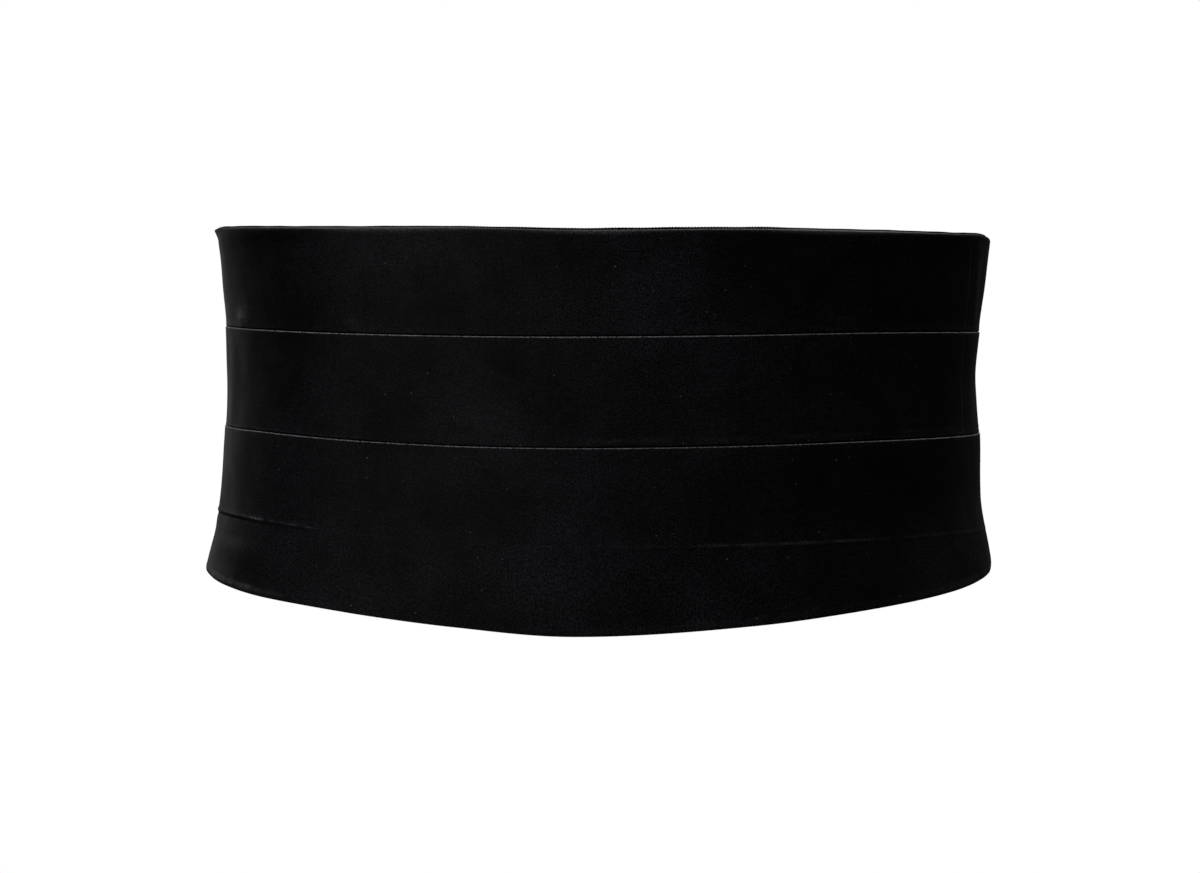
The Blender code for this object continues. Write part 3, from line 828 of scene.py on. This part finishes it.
def wing_length(side):
    """Length of a wing along its middle."""
    angle = np.linspace(WING_START, WING_END, 50)
    spots = put(side * angle, STRAP_MIDDLE + 0.0 * angle, 0.0)
    return float(np.linalg.norm(np.diff(spots, axis=0), axis=1).sum())


def wing_face(side, share, height, inner=False):
    """Points of a wing's outer or inner face past its seam turn."""
    angle = wing_angle(share)
    top, bottom = wing_edges(side, angle)
    from_end = (1 - share) * wing_length(side)
    from_edge = np.minimum(np.minimum(top - height, height - bottom), from_end)
    relief = wing_relief(side, share, height, from_edge)
    inset = rounded_inset(from_edge)
    curl = hem_curl(side * angle, height - bottom)
    if not inner:
        return put(side * angle, height, inset - relief + curl)
    thinner = ease((from_edge - WING_TURNED) / WING_THINS_OVER) * (1 - share) ** 0.5
    thick = WING_THICK - (WING_THICK - WING_THIN) * thinner
    return put(side * angle, height, thick - inset - 0.4 * relief + curl)


def wing(name, side, material):
    """Side panel of satin and lining, turned in at the seam and topstitched round its edges."""
    long = wing_length(side)
    last = [1 - step / long for step in reversed(WING_EDGE_ROWS)]
    columns = [*np.linspace(0, last[0], 90)[:-1], *last]
    grids = []
    for inner in (False, True):
        grid = []
        for turn in SEAM_TURNS:
            angle = WING_START + (turn.back_angle if inner else turn.face_angle)
            depth = turn.back_depth if inner else turn.face_depth
            shallow = min(depth, SEAM_TURN_BACK if inner else SEAM_TURN_FACE)
            top, bottom = wing_edges(side, angle)
            heights = np.array(wing_rows(top, bottom))
            from_edge = np.minimum(top - heights, heights - bottom)
            deep = 0.15 + 0.85 * ease((from_edge - SEAM_TURN_GROWS[0]) / SEAM_TURN_GROWS[1])
            curl = hem_curl(side * angle, heights - bottom)
            grid.append(put(side * angle, heights, shallow + (depth - shallow) * deep + curl))
        for share in columns:
            heights = np.array(wing_rows(*wing_edges(side, wing_angle(share))))
            grid.append(wing_face(side, share, heights, inner))
        grids.append(np.stack(grid, axis=0))
    piece = cloth(name, *grids, material)
    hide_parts("wing_right" if side > 0 else "wing_left")
    return piece


def behind(along):
    """Angle of a place measured along the waist from the centre back."""
    return 180.0 - math.degrees(along / WAIST_HALF_WIDTH)


def along_to(angle):
    """Place along the waist from the centre back, of an angle."""
    return math.radians(180.0 - angle) * WAIST_HALF_WIDTH


def strap_section(has_slide):
    """A strap seen from above, as depth and place along the waist: looped on its bar, folded back."""
    section = Section(SOLID_WALL, SOLID_GAP)
    outside = section.layer(1) + FASTENER_BAR_THICK / 2
    inside = outside - section.thick
    loop_at = FASTENER_AT - SOLID_GAP + FASTENER_BAR_THICK / 2
    past_bar = FASTENER_AT + FASTENER_BAR + SOLID_GAP
    sewn_down = past_bar + FASTENER_SLOPE
    tail = 2 * outside - section.thick
    in_wing, leaves, on_skin = (along_to(a) for a in (STRAP_IN_WING, STRAP_LEAVES_WING, STRAP_ON_SKIN))
    section.run_down([in_wing, *shares(in_wing, leaves, 6), leaves], WING_THICK + SOLID_GAP)
    for share in (0.2, 0.4, 0.6, 0.8, 1.0):
        depth = (WING_THICK + SOLID_GAP) * (1 - ease(share))
        section.run_down([leaves + (on_skin - leaves) * share], depth)
    section.run_down(shares(on_skin, loop_at, 40))
    section.bend((outside, loop_at), (outside, inside), (180, 360), 12)
    section.run_up([past_bar], tail)
    for share in (0.25, 0.5, 0.75, 1.0):
        depth = tail + (section.layer(1) - tail) * ease(share)
        section.run_up([past_bar + FASTENER_SLOPE * share], depth)
    if has_slide:
        half_bar = FASTENER_BAR_THICK / 2
        bar_end = SLIDE_AT + 2 * SLIDE_BAR + SLIDE_WINDOW
        centre = (section.layer(2) + half_bar, bar_end + SOLID_GAP - half_bar)
        section.run_up(shares(sewn_down, centre[1], 14), section.layer(1))
        section.bend(centre, (inside, outside), (180, 0), 12)
        behind_bar = centre[0] + half_bar + SOLID_GAP
        section.run_down([*shares(centre[1], STRAP_END_AT, 6), STRAP_END_AT], behind_bar)
    else:
        section.run_up([*shares(sewn_down, STRAP_END_AT, 8), STRAP_END_AT], section.layer(1))
    return section


def strap_spot(side, height, depth, along):
    """Point of a strap: it leaves the wing's slope and goes upright behind the back."""
    angle = behind(along)
    follow = 1 - ease((angle - WING_END) / (STRAP_UPRIGHT - WING_END))
    level = STRAP_MIDDLE + (height - STRAP_MIDDLE) * follow
    return put(side * angle, height, depth, level)


def strap(name, side, has_slide, material):
    """Elastic band with soft edges."""
    half = STRAP_WIDTH / 2
    edge = np.array([0.0, 0.00012, 0.00035, 0.0008])
    inner_rows = np.linspace(half - 0.002, 0.002 - half, 19)
    heights = STRAP_MIDDLE + np.concatenate([half - edge, inner_rows, edge[::-1] - half])
    from_edge = half - np.abs(heights - STRAP_MIDDLE)
    pinch = 0.8 * np.clip(1 - from_edge / 0.0005, 0, 1) ** 2
    section = strap_section(has_slide)
    grids = []
    for points in (section.face, section.back):
        columns = [strap_spot(side, heights, depth, along) for depth, along in points]
        grids.append(np.stack(columns, axis=0))
    middle = (grids[0] + grids[1]) / 2
    grids = [grid + (middle - grid) * pinch[None, :, None] for grid in grids]
    piece = cloth(name, *grids, material)
    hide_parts("strap_right" if side > 0 else "strap_left")
    return piece


def stitch_run(spots, outwards):
    """Corners and faces of a row of stitches along a line of spots on the cloth."""
    gone = np.concatenate([[0.0], np.cumsum(np.linalg.norm(np.diff(spots, axis=0), axis=1))])
    count = int(gone[-1] / STITCH_PITCH)
    corners, faces = [], []
    sides = THREAD_SIDES

    def spot(at):
        return np.array([np.interp(at, gone, spots[:, axis]) for axis in range(3)])

    for number in range(count):
        centre_at = (number + 0.5) * gone[-1] / count
        base = len(corners)
        normal = np.array([np.interp(centre_at, gone, outwards[:, axis]) for axis in range(3)])
        normal /= np.linalg.norm(normal)
        for reach, girth, lift in STITCH_RINGS:
            at = centre_at + reach * STITCH_LONG / 2
            forward = spot(at + 0.0005) - spot(at - 0.0005)
            sideways = np.cross(forward / np.linalg.norm(forward), normal)
            for corner in range(sides):
                turn = math.tau * corner / sides
                ring = girth * (sideways * math.cos(turn) + normal * math.sin(turn)) + lift * normal
                corners.append(spot(at) + ring * THREAD_RADIUS)
        for ring in range(len(STITCH_RINGS) - 1):
            for corner in range(sides):
                following = (corner + 1) % sides
                low, high = base + ring * sides, base + (ring + 1) * sides
                faces.append((low + corner, low + following, high + following, high + corner))
        faces.append(tuple(base + corner for corner in range(sides)))
        far_ring = base + (len(STITCH_RINGS) - 1) * sides
        faces.append(tuple(far_ring + corner for corner in range(sides)))
    return corners, faces


def sewing(name, runs, material):
    """All the stitches of several runs, joined in one piece."""
    corners, faces = [], []
    for spots, outwards in runs:
        more_corners, more_faces = stitch_run(spots, outwards)
        faces += [tuple(len(corners) + corner for corner in face) for face in more_faces]
        corners += more_corners
    mesh = bpy.data.meshes.new(name)
    mesh.from_pydata([tuple(corner) for corner in corners], [], faces)
    piece = piece_of(name, mesh, material)
    return piece


def wing_stitch_runs(side):
    """Topstitching round a wing's free edges, on both of its faces, and a row that holds the strap."""
    long = wing_length(side)
    last = 1 - TOPSTITCH_IN / long
    share = np.linspace(0.02, last, 80)
    top, bottom = wing_edges(side, wing_angle(share))
    end_heights = np.linspace(top[-1] - TOPSTITCH_IN, bottom[-1] + TOPSTITCH_IN, 40)
    strap_heights = STRAP_MIDDLE + np.linspace(0.5, -0.5, 30) * (STRAP_WIDTH - STRAP_ROW_SHORT)
    lines = [
        (share, top - TOPSTITCH_IN),
        (share[::-1], bottom[::-1] + TOPSTITCH_IN),
        (np.full(40, last), end_heights),
        (np.full(30, 1 - STRAP_ROW_IN / long), strap_heights),
    ]
    runs = []
    for along, heights in lines:
        outer = np.array([wing_face(side, s, h, False) for s, h in zip(along, heights)])
        inner = np.array([wing_face(side, s, h, True) for s, h in zip(along, heights)])
        runs.append((outer, outer - inner))
        runs.append((inner, inner - outer))
    return runs


def strap_stitch_runs(side):
    """Two rows of stitches across a strap, where its end is sewn down behind the fastener."""
    runs = []
    heights = STRAP_MIDDLE + np.linspace(0.5, -0.5, 30) * (STRAP_WIDTH - SEWN_ROW_SHORT)
    sewn_down = FASTENER_AT + FASTENER_BAR + SOLID_GAP + FASTENER_SLOPE
    for past in SEWN_ROWS:
        for depth, outside in ((0.0, 1.0), (2 * SOLID_WALL + SOLID_GAP, -1.0)):
            spots = strap_spot(side, heights, depth, sewn_down + past)
            above = strap_spot(side, heights, depth - outside * 0.001, sewn_down + past)
            runs.append((spots, above - spots))
    return runs


# Fasteners, modelled flat: along the waist, outwards and up

def nothing_selected():
    """Deselects every object."""
    for chosen in list(bpy.context.selected_objects):
        chosen.select_set(False)


def picked(test):
    """Selects the faces that pass a test."""
    bpy.ops.mesh.select_mode(type="FACE")
    bpy.ops.mesh.select_all(action="DESELECT")
    shape = bmesh.from_edit_mesh(bpy.context.object.data)
    for face in shape.faces:
        face.select_set(test(face))
    bmesh.update_edit_mesh(bpy.context.object.data)


def block(along, outwards, up):
    """A block between two places along the waist, two outwards and two up."""
    nothing_selected()
    spans = (along, outwards, up)
    middle = [(low + high) / 2 for low, high in spans]
    size = [high - low for low, high in spans]
    bpy.ops.mesh.primitive_cube_add(size=1.0, location=middle, scale=size)
    bpy.ops.object.transform_apply(location=True, rotation=True, scale=True)
    return bpy.context.object


def applied(piece, kind, **settings):
    """Adds a modifier to a piece and applies it."""
    modifier = piece.modifiers.new(kind, kind)
    for key, value in settings.items():
        setattr(modifier, key, value)
    bpy.context.view_layer.objects.active = piece
    bpy.ops.object.modifier_apply(modifier=modifier.name)


def fused(piece, other):
    """Joins another piece to the first in one body."""
    applied(piece, "BOOLEAN", operation="UNION", solver="EXACT", object=other)
    bpy.data.objects.remove(other)
    return piece


def pushed(test, move):
    """Extrudes the faces that pass a test."""
    picked(test)
    bpy.ops.mesh.extrude_region_move(TRANSFORM_OT_translate={"value": move})


def frame_of_bars(along, outwards, bar):
    """Flat frame as tall as the strap and its rails, with a window."""
    tall = STRAP_WIDTH / 2 + SOLID_GAP + FASTENER_RAIL
    piece = block(along, outwards, (-tall, tall))
    bpy.ops.object.mode_set(mode="EDIT")
    picked(lambda face: abs(face.normal.y) > FACING)
    bpy.ops.mesh.inset(thickness=bar)
    bpy.ops.mesh.bridge_edge_loops()
    bpy.ops.object.mode_set(mode="OBJECT")
    return piece


def slide_shape():
    """Slide: a frame outside the strap, and a bar behind it that is bent inwards at both ends."""
    outer = (SOLID_GAP, SOLID_GAP + FASTENER_BAR_THICK)
    behind_strap = 2 * (SOLID_WALL + SOLID_GAP)
    first_bar = SLIDE_AT + SLIDE_BAR + SLIDE_WINDOW
    middle_bar = (first_bar, first_bar + SLIDE_BAR)
    slide_end = SLIDE_AT + 3 * SLIDE_BAR + 2 * SLIDE_WINDOW
    piece = frame_of_bars((SLIDE_AT, slide_end), outer, FASTENER_RAIL)
    tall = STRAP_WIDTH / 2 + SOLID_GAP + FASTENER_RAIL
    bar = block(middle_bar, (-behind_strap - FASTENER_BAR_THICK, -behind_strap), (-tall, tall))
    bpy.ops.object.mode_set(mode="EDIT")
    for cut_at in (tall - FASTENER_RAIL, FASTENER_RAIL - tall):
        bpy.ops.mesh.select_all(action="SELECT")
        bpy.ops.mesh.bisect(plane_co=(0, 0, cut_at), plane_no=(0, 0, 1))
    pushed(
        lambda face: face.normal.y > FACING and abs(face.calc_center_median().z) > tall - FASTENER_RAIL,
        (0, behind_strap + SOLID_GAP + FASTENER_BAR_THICK / 2, 0),
    )
    bpy.ops.object.mode_set(mode="OBJECT")
    return fused(piece, bar), (SLIDE_AT, slide_end)


def eye_shape():
    """Eye: a frame of two bars and two rails."""
    outer = (-SOLID_WALL - SOLID_GAP - FASTENER_BAR_THICK, -SOLID_WALL - SOLID_GAP)
    span = (EYE_BAR_AT, FASTENER_AT + FASTENER_BAR)
    return frame_of_bars(span, outer, FASTENER_BAR), span


def hook_shape():
    """Hook: a frame for the strap, and a tongue that goes out, along and round the eye's bar."""
    bar_outside = -SOLID_WALL - SOLID_GAP
    tongue_outside = bar_outside + SOLID_GAP + FASTENER_BAR_THICK
    far = -EYE_BAR_AT - FASTENER_BAR - SOLID_GAP
    strap_end = FASTENER_AT + FASTENER_BAR
    frame_piece = frame_of_bars(
        (HOOK_NECK, strap_end), (bar_outside - FASTENER_BAR_THICK, bar_outside), FASTENER_BAR)
    half = HOOK_TONGUE_HALF
    tongue_thick = (tongue_outside - FASTENER_BAR_THICK, tongue_outside)
    tongue = block((far, HOOK_NECK), tongue_thick, (-half, half))
    bpy.ops.object.mode_set(mode="EDIT")
    pushed(lambda face: face.normal.x < -FACING, (-FASTENER_BAR_THICK, 0, 0))
    pushed(
        lambda face: face.normal.y < -FACING and face.calc_center_median().x < far,
        (0, -2 * SOLID_GAP - FASTENER_BAR_THICK, 0),
    )
    bpy.ops.mesh.extrude_region_move(TRANSFORM_OT_translate={"value": (0, -FASTENER_BAR_THICK, 0)})
    lip = bar_outside - FASTENER_BAR_THICK - SOLID_GAP
    pushed(
        lambda face: face.normal.x > FACING and face.calc_center_median().y < lip,
        (HOOK_TIP - far, 0, 0),
    )
    pushed(
        lambda face: face.normal.x > FACING and face.calc_center_median().x > 0,
        (FASTENER_BAR, 0, 0),
    )
    pushed(
        lambda face: face.normal.y < -FACING and face.calc_center_median().x > HOOK_NECK,
        (0, -SOLID_GAP - FASTENER_BAR_THICK / 2, 0),
    )
    bpy.ops.object.mode_set(mode="OBJECT")
    return fused(frame_piece, tongue), (far - FASTENER_BAR_THICK, strap_end)


def fastener(node_name, side, shape, material):
    """A fastener in its place on the waist, in the plane that its straps' curve crosses evenly."""
    piece, (near_end, far_end) = shape
    sharp = {"limit_method": "ANGLE", "angle_limit": math.radians(EDGE_ANGLE)}
    applied(piece, "BEVEL", width=FASTENER_EDGE, segments=3, **sharp)
    piece.name = node_name + "_finish"
    middle = (near_end + far_end) / 2
    spots = [put(side * behind(at), STRAP_MIDDLE, 0.0) for at in (near_end, middle, far_end)]
    along = (spots[2] - spots[0]) * side
    place = (spots[1] + (spots[0] + spots[2]) / 2) / 2
    turn = math.atan2(along[1], along[0])
    nothing_selected()
    piece.select_set(True)
    bpy.context.view_layer.objects.active = piece
    if side < 0:
        piece.scale = (-1, 1, 1)
    piece.rotation_euler = (0, 0, turn)
    piece.location = (
        place[0] - side * middle * math.cos(turn),
        place[1] - side * middle * math.sin(turn),
        STRAP_MIDDLE,
    )
    bpy.ops.object.transform_apply(location=True, rotation=True, scale=True)
    bpy.ops.object.mode_set(mode="EDIT")
    bpy.ops.mesh.select_all(action="SELECT")
    bpy.ops.mesh.normals_make_consistent(inside=False)
    bpy.ops.object.mode_set(mode="OBJECT")
    bpy.ops.object.shade_smooth_by_angle(angle=math.radians(SMOOTH_ANGLE))
    piece.data.materials.clear()
    piece.data.materials.append(material)
    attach(piece, "root")
    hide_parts(node_name)
    return piece


# Materials

WAVES_PER_SCALE = 20 / math.tau
# Unevenness of the dye, of its small spots, of the grain and of a hard gloss, in waves per metre
MOTTLE_WAVES = 26.0
SPOT_WAVES = 480.0
GRAIN_WAVES = 1500.0
GLOSS_WAVES = 400.0
GLOSS_SPREAD = 0.06
# Pitches of the weaves
TWILL_PITCH = 0.00045
THREAD_PITCH = 0.0005
RUBBER_PITCH = 0.0012
WEAVE_BUMP = {"Strength": 0.30, "Distance": 0.00008}
# Colour of the painted highlight along folds, creases, puckers and the hem, and colour of lint, which
# lies as one speck in a share of the cells of a loose net
PAINTED_HIGHLIGHT = (0.086, 0.086, 0.091)
LINT = (0.070, 0.070, 0.074)
LINT_CELLS = 120.0
LINT_SIZE = 0.00032
LINT_SHARE = 0.30


class Shading:
    """Nodes of a material or of the surroundings. An input takes a value or another node's output."""

    def __init__(self, owner):
        owner.use_nodes = True
        self.nodes = owner.node_tree.nodes
        self.links = owner.node_tree.links

    def fill(self, made, inputs):
        """Fills a node's inputs."""
        for key, value in inputs.items():
            if isinstance(value, bpy.types.NodeSocket):
                self.links.new(value, made.inputs[key])
            else:
                made.inputs[key].default_value = value

    def node(self, kind, inputs=None, **settings):
        """A new node with its settings and inputs."""
        made = self.nodes.new(kind)
        for key, value in settings.items():
            setattr(made, key, value)
        self.fill(made, inputs or {})
        return made

    def noise(self, source, scale, detail=2.0, roughness=0.5):
        """Noise over a coordinate, in waves per metre."""
        values = {"Vector": source, "Scale": scale, "Detail": detail, "Roughness": roughness}
        return self.node("ShaderNodeTexNoise", values).outputs["Fac"]

    def ribs(self, source, pitch, direction, distortion=0.5):
        """Even ribs a pitch apart."""
        values = {"Vector": source, "Scale": 1 / (pitch * WAVES_PER_SCALE), "Distortion": distortion}
        return self.node("ShaderNodeTexWave", values, bands_direction=direction).outputs["Fac"]

    def ranged(self, value, low, high, start=0.0, end=1.0):
        """The value moved from a stretch to another."""
        values = {"Value": value, "From Min": start, "From Max": end, "To Min": low, "To Max": high}
        return self.node("ShaderNodeMapRange", values).outputs["Result"]

    def product(self, first, second):
        """Product of two values."""
        return self.node("ShaderNodeMath", {0: first, 1: second}, operation="MULTIPLY").outputs[0]

    def added(self, first, second, share):
        """First value plus a share of the second."""
        values = {0: second, 1: share, 2: first}
        return self.node("ShaderNodeMath", values, operation="MULTIPLY_ADD").outputs[0]

    def blended(self, share, first, second):
        """The first colour, turned into the second by a share."""
        values = {"Factor": share, "A": first, "B": (*second, 1.0)}
        return self.node("ShaderNodeMix", values, data_type="RGBA").outputs["Result"]

    def lint(self, spread):
        """Scattered specks of lint, one in some of the cells of a loose net."""
        values = {"Vector": spread, "Scale": LINT_CELLS}
        cells = self.node("ShaderNodeTexVoronoi", values, voronoi_dimensions="2D")
        size = LINT_SIZE * LINT_CELLS
        spots = self.ranged(cells.outputs["Distance"], 1.0, 0.0, size * 0.5, size)
        kept = self.ranged(cells.outputs["Color"], 0.0, 1.0, 1 - LINT_SHARE, 1.0)
        return self.product(spots, kept)

    def white_glow(self, kind, lit, output):
        """White surroundings that light the object more softly than they look."""
        path = self.node("ShaderNodeLightPath")
        strength = self.ranged(path.outputs["Is Camera Ray"], lit, 1.0)
        glow = self.node(kind, {"Color": (1.0, 1.0, 1.0, 1.0), "Strength": strength})
        self.fill(self.nodes[output], {"Surface": glow.outputs[0]})


def cloth_material(name, colour, roughness, specular, weave, unevenly):
    """Black cloth, with painted highlight and painted shade read from the pressed attribute. The weave
    is a function that gives the height of its threads.
    """
    material = bpy.data.materials.new(name)
    shading = Shading(material)
    place = shading.node("ShaderNodeTexCoord").outputs["Object"]
    spread = shading.node("ShaderNodeUVMap", uv_map="cloth").outputs["UV"]
    mottle = shading.noise(place, MOTTLE_WAVES, 4.0, 0.62)
    grain = shading.noise(spread, GRAIN_WAVES, 2.0, 0.7)
    patches = shading.ranged(mottle, 1 - unevenly, 1 + unevenly, 0.32, 0.68)
    spots = shading.ranged(shading.noise(place, SPOT_WAVES), 0.82, 1.20, 0.36, 0.64)
    flecks = shading.ranged(grain, 0.15, 2.0, 0.36, 0.66)
    # The pressed attribute holds painted highlight, and below 0 painted shade that darkens the base
    # colour
    pressed = shading.node("ShaderNodeAttribute", attribute_name="pressed").outputs["Fac"]
    painted_shade = shading.ranged(pressed, 0.1, 1.0, -1.0, 0.0)
    dye_and_painted_shade = shading.product(shading.product(patches, spots), shading.product(flecks, painted_shade))
    shade = shading.node("ShaderNodeVectorMath", {0: colour, "Scale": dye_and_painted_shade}, operation="SCALE")
    # Painted highlight: the base colour is blended towards a light grey where the pressed attribute is
    # above 0
    painted_highlight = shading.product(pressed, flecks)
    worn = shading.blended(painted_highlight, shade.outputs["Vector"], PAINTED_HIGHLIGHT)
    threads = shading.added(weave(shading, spread), grain, 1.0)
    bump = shading.node("ShaderNodeBump", {"Height": threads, **WEAVE_BUMP})
    duller, glossier = roughness + GLOSS_SPREAD, roughness - GLOSS_SPREAD
    shading.fill(shading.nodes["Principled BSDF"], {
        "Base Color": shading.blended(shading.lint(spread), worn, LINT),
        "Roughness": shading.ranged(mottle, duller, glossier, 0.3, 0.7),
        "Specular IOR Level": specular,
        "Normal": bump.outputs["Normal"],
    })
    return material


def satin_weave(shading, spread):
    """Fine slanting lines of satin."""
    return shading.ribs(spread, TWILL_PITCH, "DIAGONAL", 1.0)


def plain_weave(shading, spread):
    """Threads that cross at right angles."""
    warp = shading.ribs(spread, THREAD_PITCH, "X")
    return shading.added(warp, shading.ribs(spread, THREAD_PITCH, "Y"), 1.0)


def elastic_weave(shading, spread):
    """Rubber cords along the strap, with fine thread across them."""
    cords = shading.ribs(spread, RUBBER_PITCH, "Y", 0.1)
    return shading.added(cords, shading.ribs(spread, THREAD_PITCH, "X"), 0.3)


def hard_material(name, colour, roughness, specular):
    """Enamel or thread, with a slight unevenness in its gloss."""
    material = bpy.data.materials.new(name)
    shading = Shading(material)
    place = shading.node("ShaderNodeTexCoord").outputs["Object"]
    noise = shading.noise(place, GLOSS_WAVES, 3.0)
    shading.fill(shading.nodes["Principled BSDF"], {
        "Base Color": (*colour, 1.0),
        "Roughness": shading.ranged(noise, roughness - GLOSS_SPREAD, roughness + GLOSS_SPREAD),
        "Specular IOR Level": specular,
    })
    return material


# Studio

PICTURE_WIDE = 1200
FOCAL_PIXELS = 3541.0
CAMERA_SPOT = (-0.00076, -1.35, 0.0511)
CAMERA_DIP = 3.257
SENSOR = 36.0
FLOOR_HEIGHT = -1.05
FLOOR_WIDE = 60.0
FLOOR_LIGHT = 0.05
WORLD_LIGHT = 0.10

# Soft lights that face the object: place, size and power
Light = namedtuple("Light", "name spot size power")
LIGHTS = [
    Light("top_light", (-0.30, -0.50, 1.30), (1.4, 0.5), 17.0),
    Light("key_light", (-1.25, -1.40, -0.05), (2.2, 1.4), 21.0),
    Light("left_rim_light", (-1.0, 1.35, 0.5), (1.4, 1.4), 3.0),
    Light("left_back_light", (-0.70, 0.9, 1.7), (1.2, 1.2), 35.0),
    Light("right_back_light", (0.64, 0.77, 1.73), (1.2, 1.2), 85.0),
]


def camera():
    """Camera in front of the waist, level with the top edge and tipped a little down."""
    data = bpy.data.cameras.new("camera")
    data.sensor_fit = "HORIZONTAL"
    data.sensor_width = SENSOR
    data.lens = FOCAL_PIXELS * SENSOR / PICTURE_WIDE
    data.clip_end = 100.0
    made = bpy.data.objects.new("camera", data)
    made.location = CAMERA_SPOT
    made.rotation_euler = (math.radians(90 - CAMERA_DIP), 0, 0)
    bpy.context.scene.collection.objects.link(made)
    bpy.context.scene.camera = made


def soft_light(light):
    """Soft oblong light that faces the object."""
    data = bpy.data.lights.new(light.name, "AREA")
    data.shape = "RECTANGLE"
    data.size, data.size_y = light.size
    data.energy = light.power
    made = bpy.data.objects.new(light.name, data)
    made.location = light.spot
    x, y, z = light.spot
    made.rotation_euler = (math.atan2(math.hypot(x, y), z), 0, math.atan2(x, -y))
    bpy.context.scene.collection.objects.link(made)


def studio():
    """Pale floor, white surroundings and soft lights."""
    bpy.ops.mesh.primitive_plane_add(size=FLOOR_WIDE, location=(0, 0, FLOOR_HEIGHT))
    floor = bpy.context.object
    floor.name = "floor"
    material = bpy.data.materials.new("floor")
    Shading(material).white_glow("ShaderNodeEmission", FLOOR_LIGHT, "Material Output")
    floor.data.materials.append(material)
    world = bpy.data.worlds.new("surroundings")
    bpy.context.scene.world = world
    Shading(world).white_glow("ShaderNodeBackground", WORLD_LIGHT, "World Output")
    for light in LIGHTS:
        soft_light(light)
    bpy.context.scene.view_settings.view_transform = "Standard"


nothing_selected()
camera()
studio()

SATIN = cloth_material("black_satin", (0.0034, 0.0033, 0.0040), 0.42, 0.020, satin_weave, 0.5)
LINING = cloth_material("black_lining", (0.0050, 0.0050, 0.0055), 0.60, 0.030, plain_weave, 0.2)
EDGE_DYE = (0.0028, 0.0028, 0.0030)
LINING_EDGE = cloth_material("black_lining_edge", EDGE_DYE, 0.80, 0.010, plain_weave, 0.2)
ELASTIC = cloth_material("black_elastic", (0.0060, 0.0060, 0.0064), 0.75, 0.030, elastic_weave, 0.2)
ENAMEL = hard_material("black_enamel", (0.006, 0.006, 0.007), 0.30, 0.35)
THREAD = hard_material("black_thread", (0.010, 0.010, 0.011), 0.45, 0.15)

front_satin(SATIN)
front_lining(LINING, ribbed_edge(LINING_EDGE))
for word, side in (("left", -1), ("right", 1)):
    wing("side_panel_" + word, side, SATIN)
    sewing("topstitching_" + word, wing_stitch_runs(side), THREAD)
    band = strap("elastic_" + word, side, side > 0, ELASTIC)
    sewing("strap_stitches_" + word, strap_stitch_runs(side), THREAD)
fastener("strap_slide", 1, slide_shape(), ENAMEL)
fastener("strap_hook", 1, hook_shape(), ENAMEL)
fastener("strap_eye", -1, eye_shape(), ENAMEL)
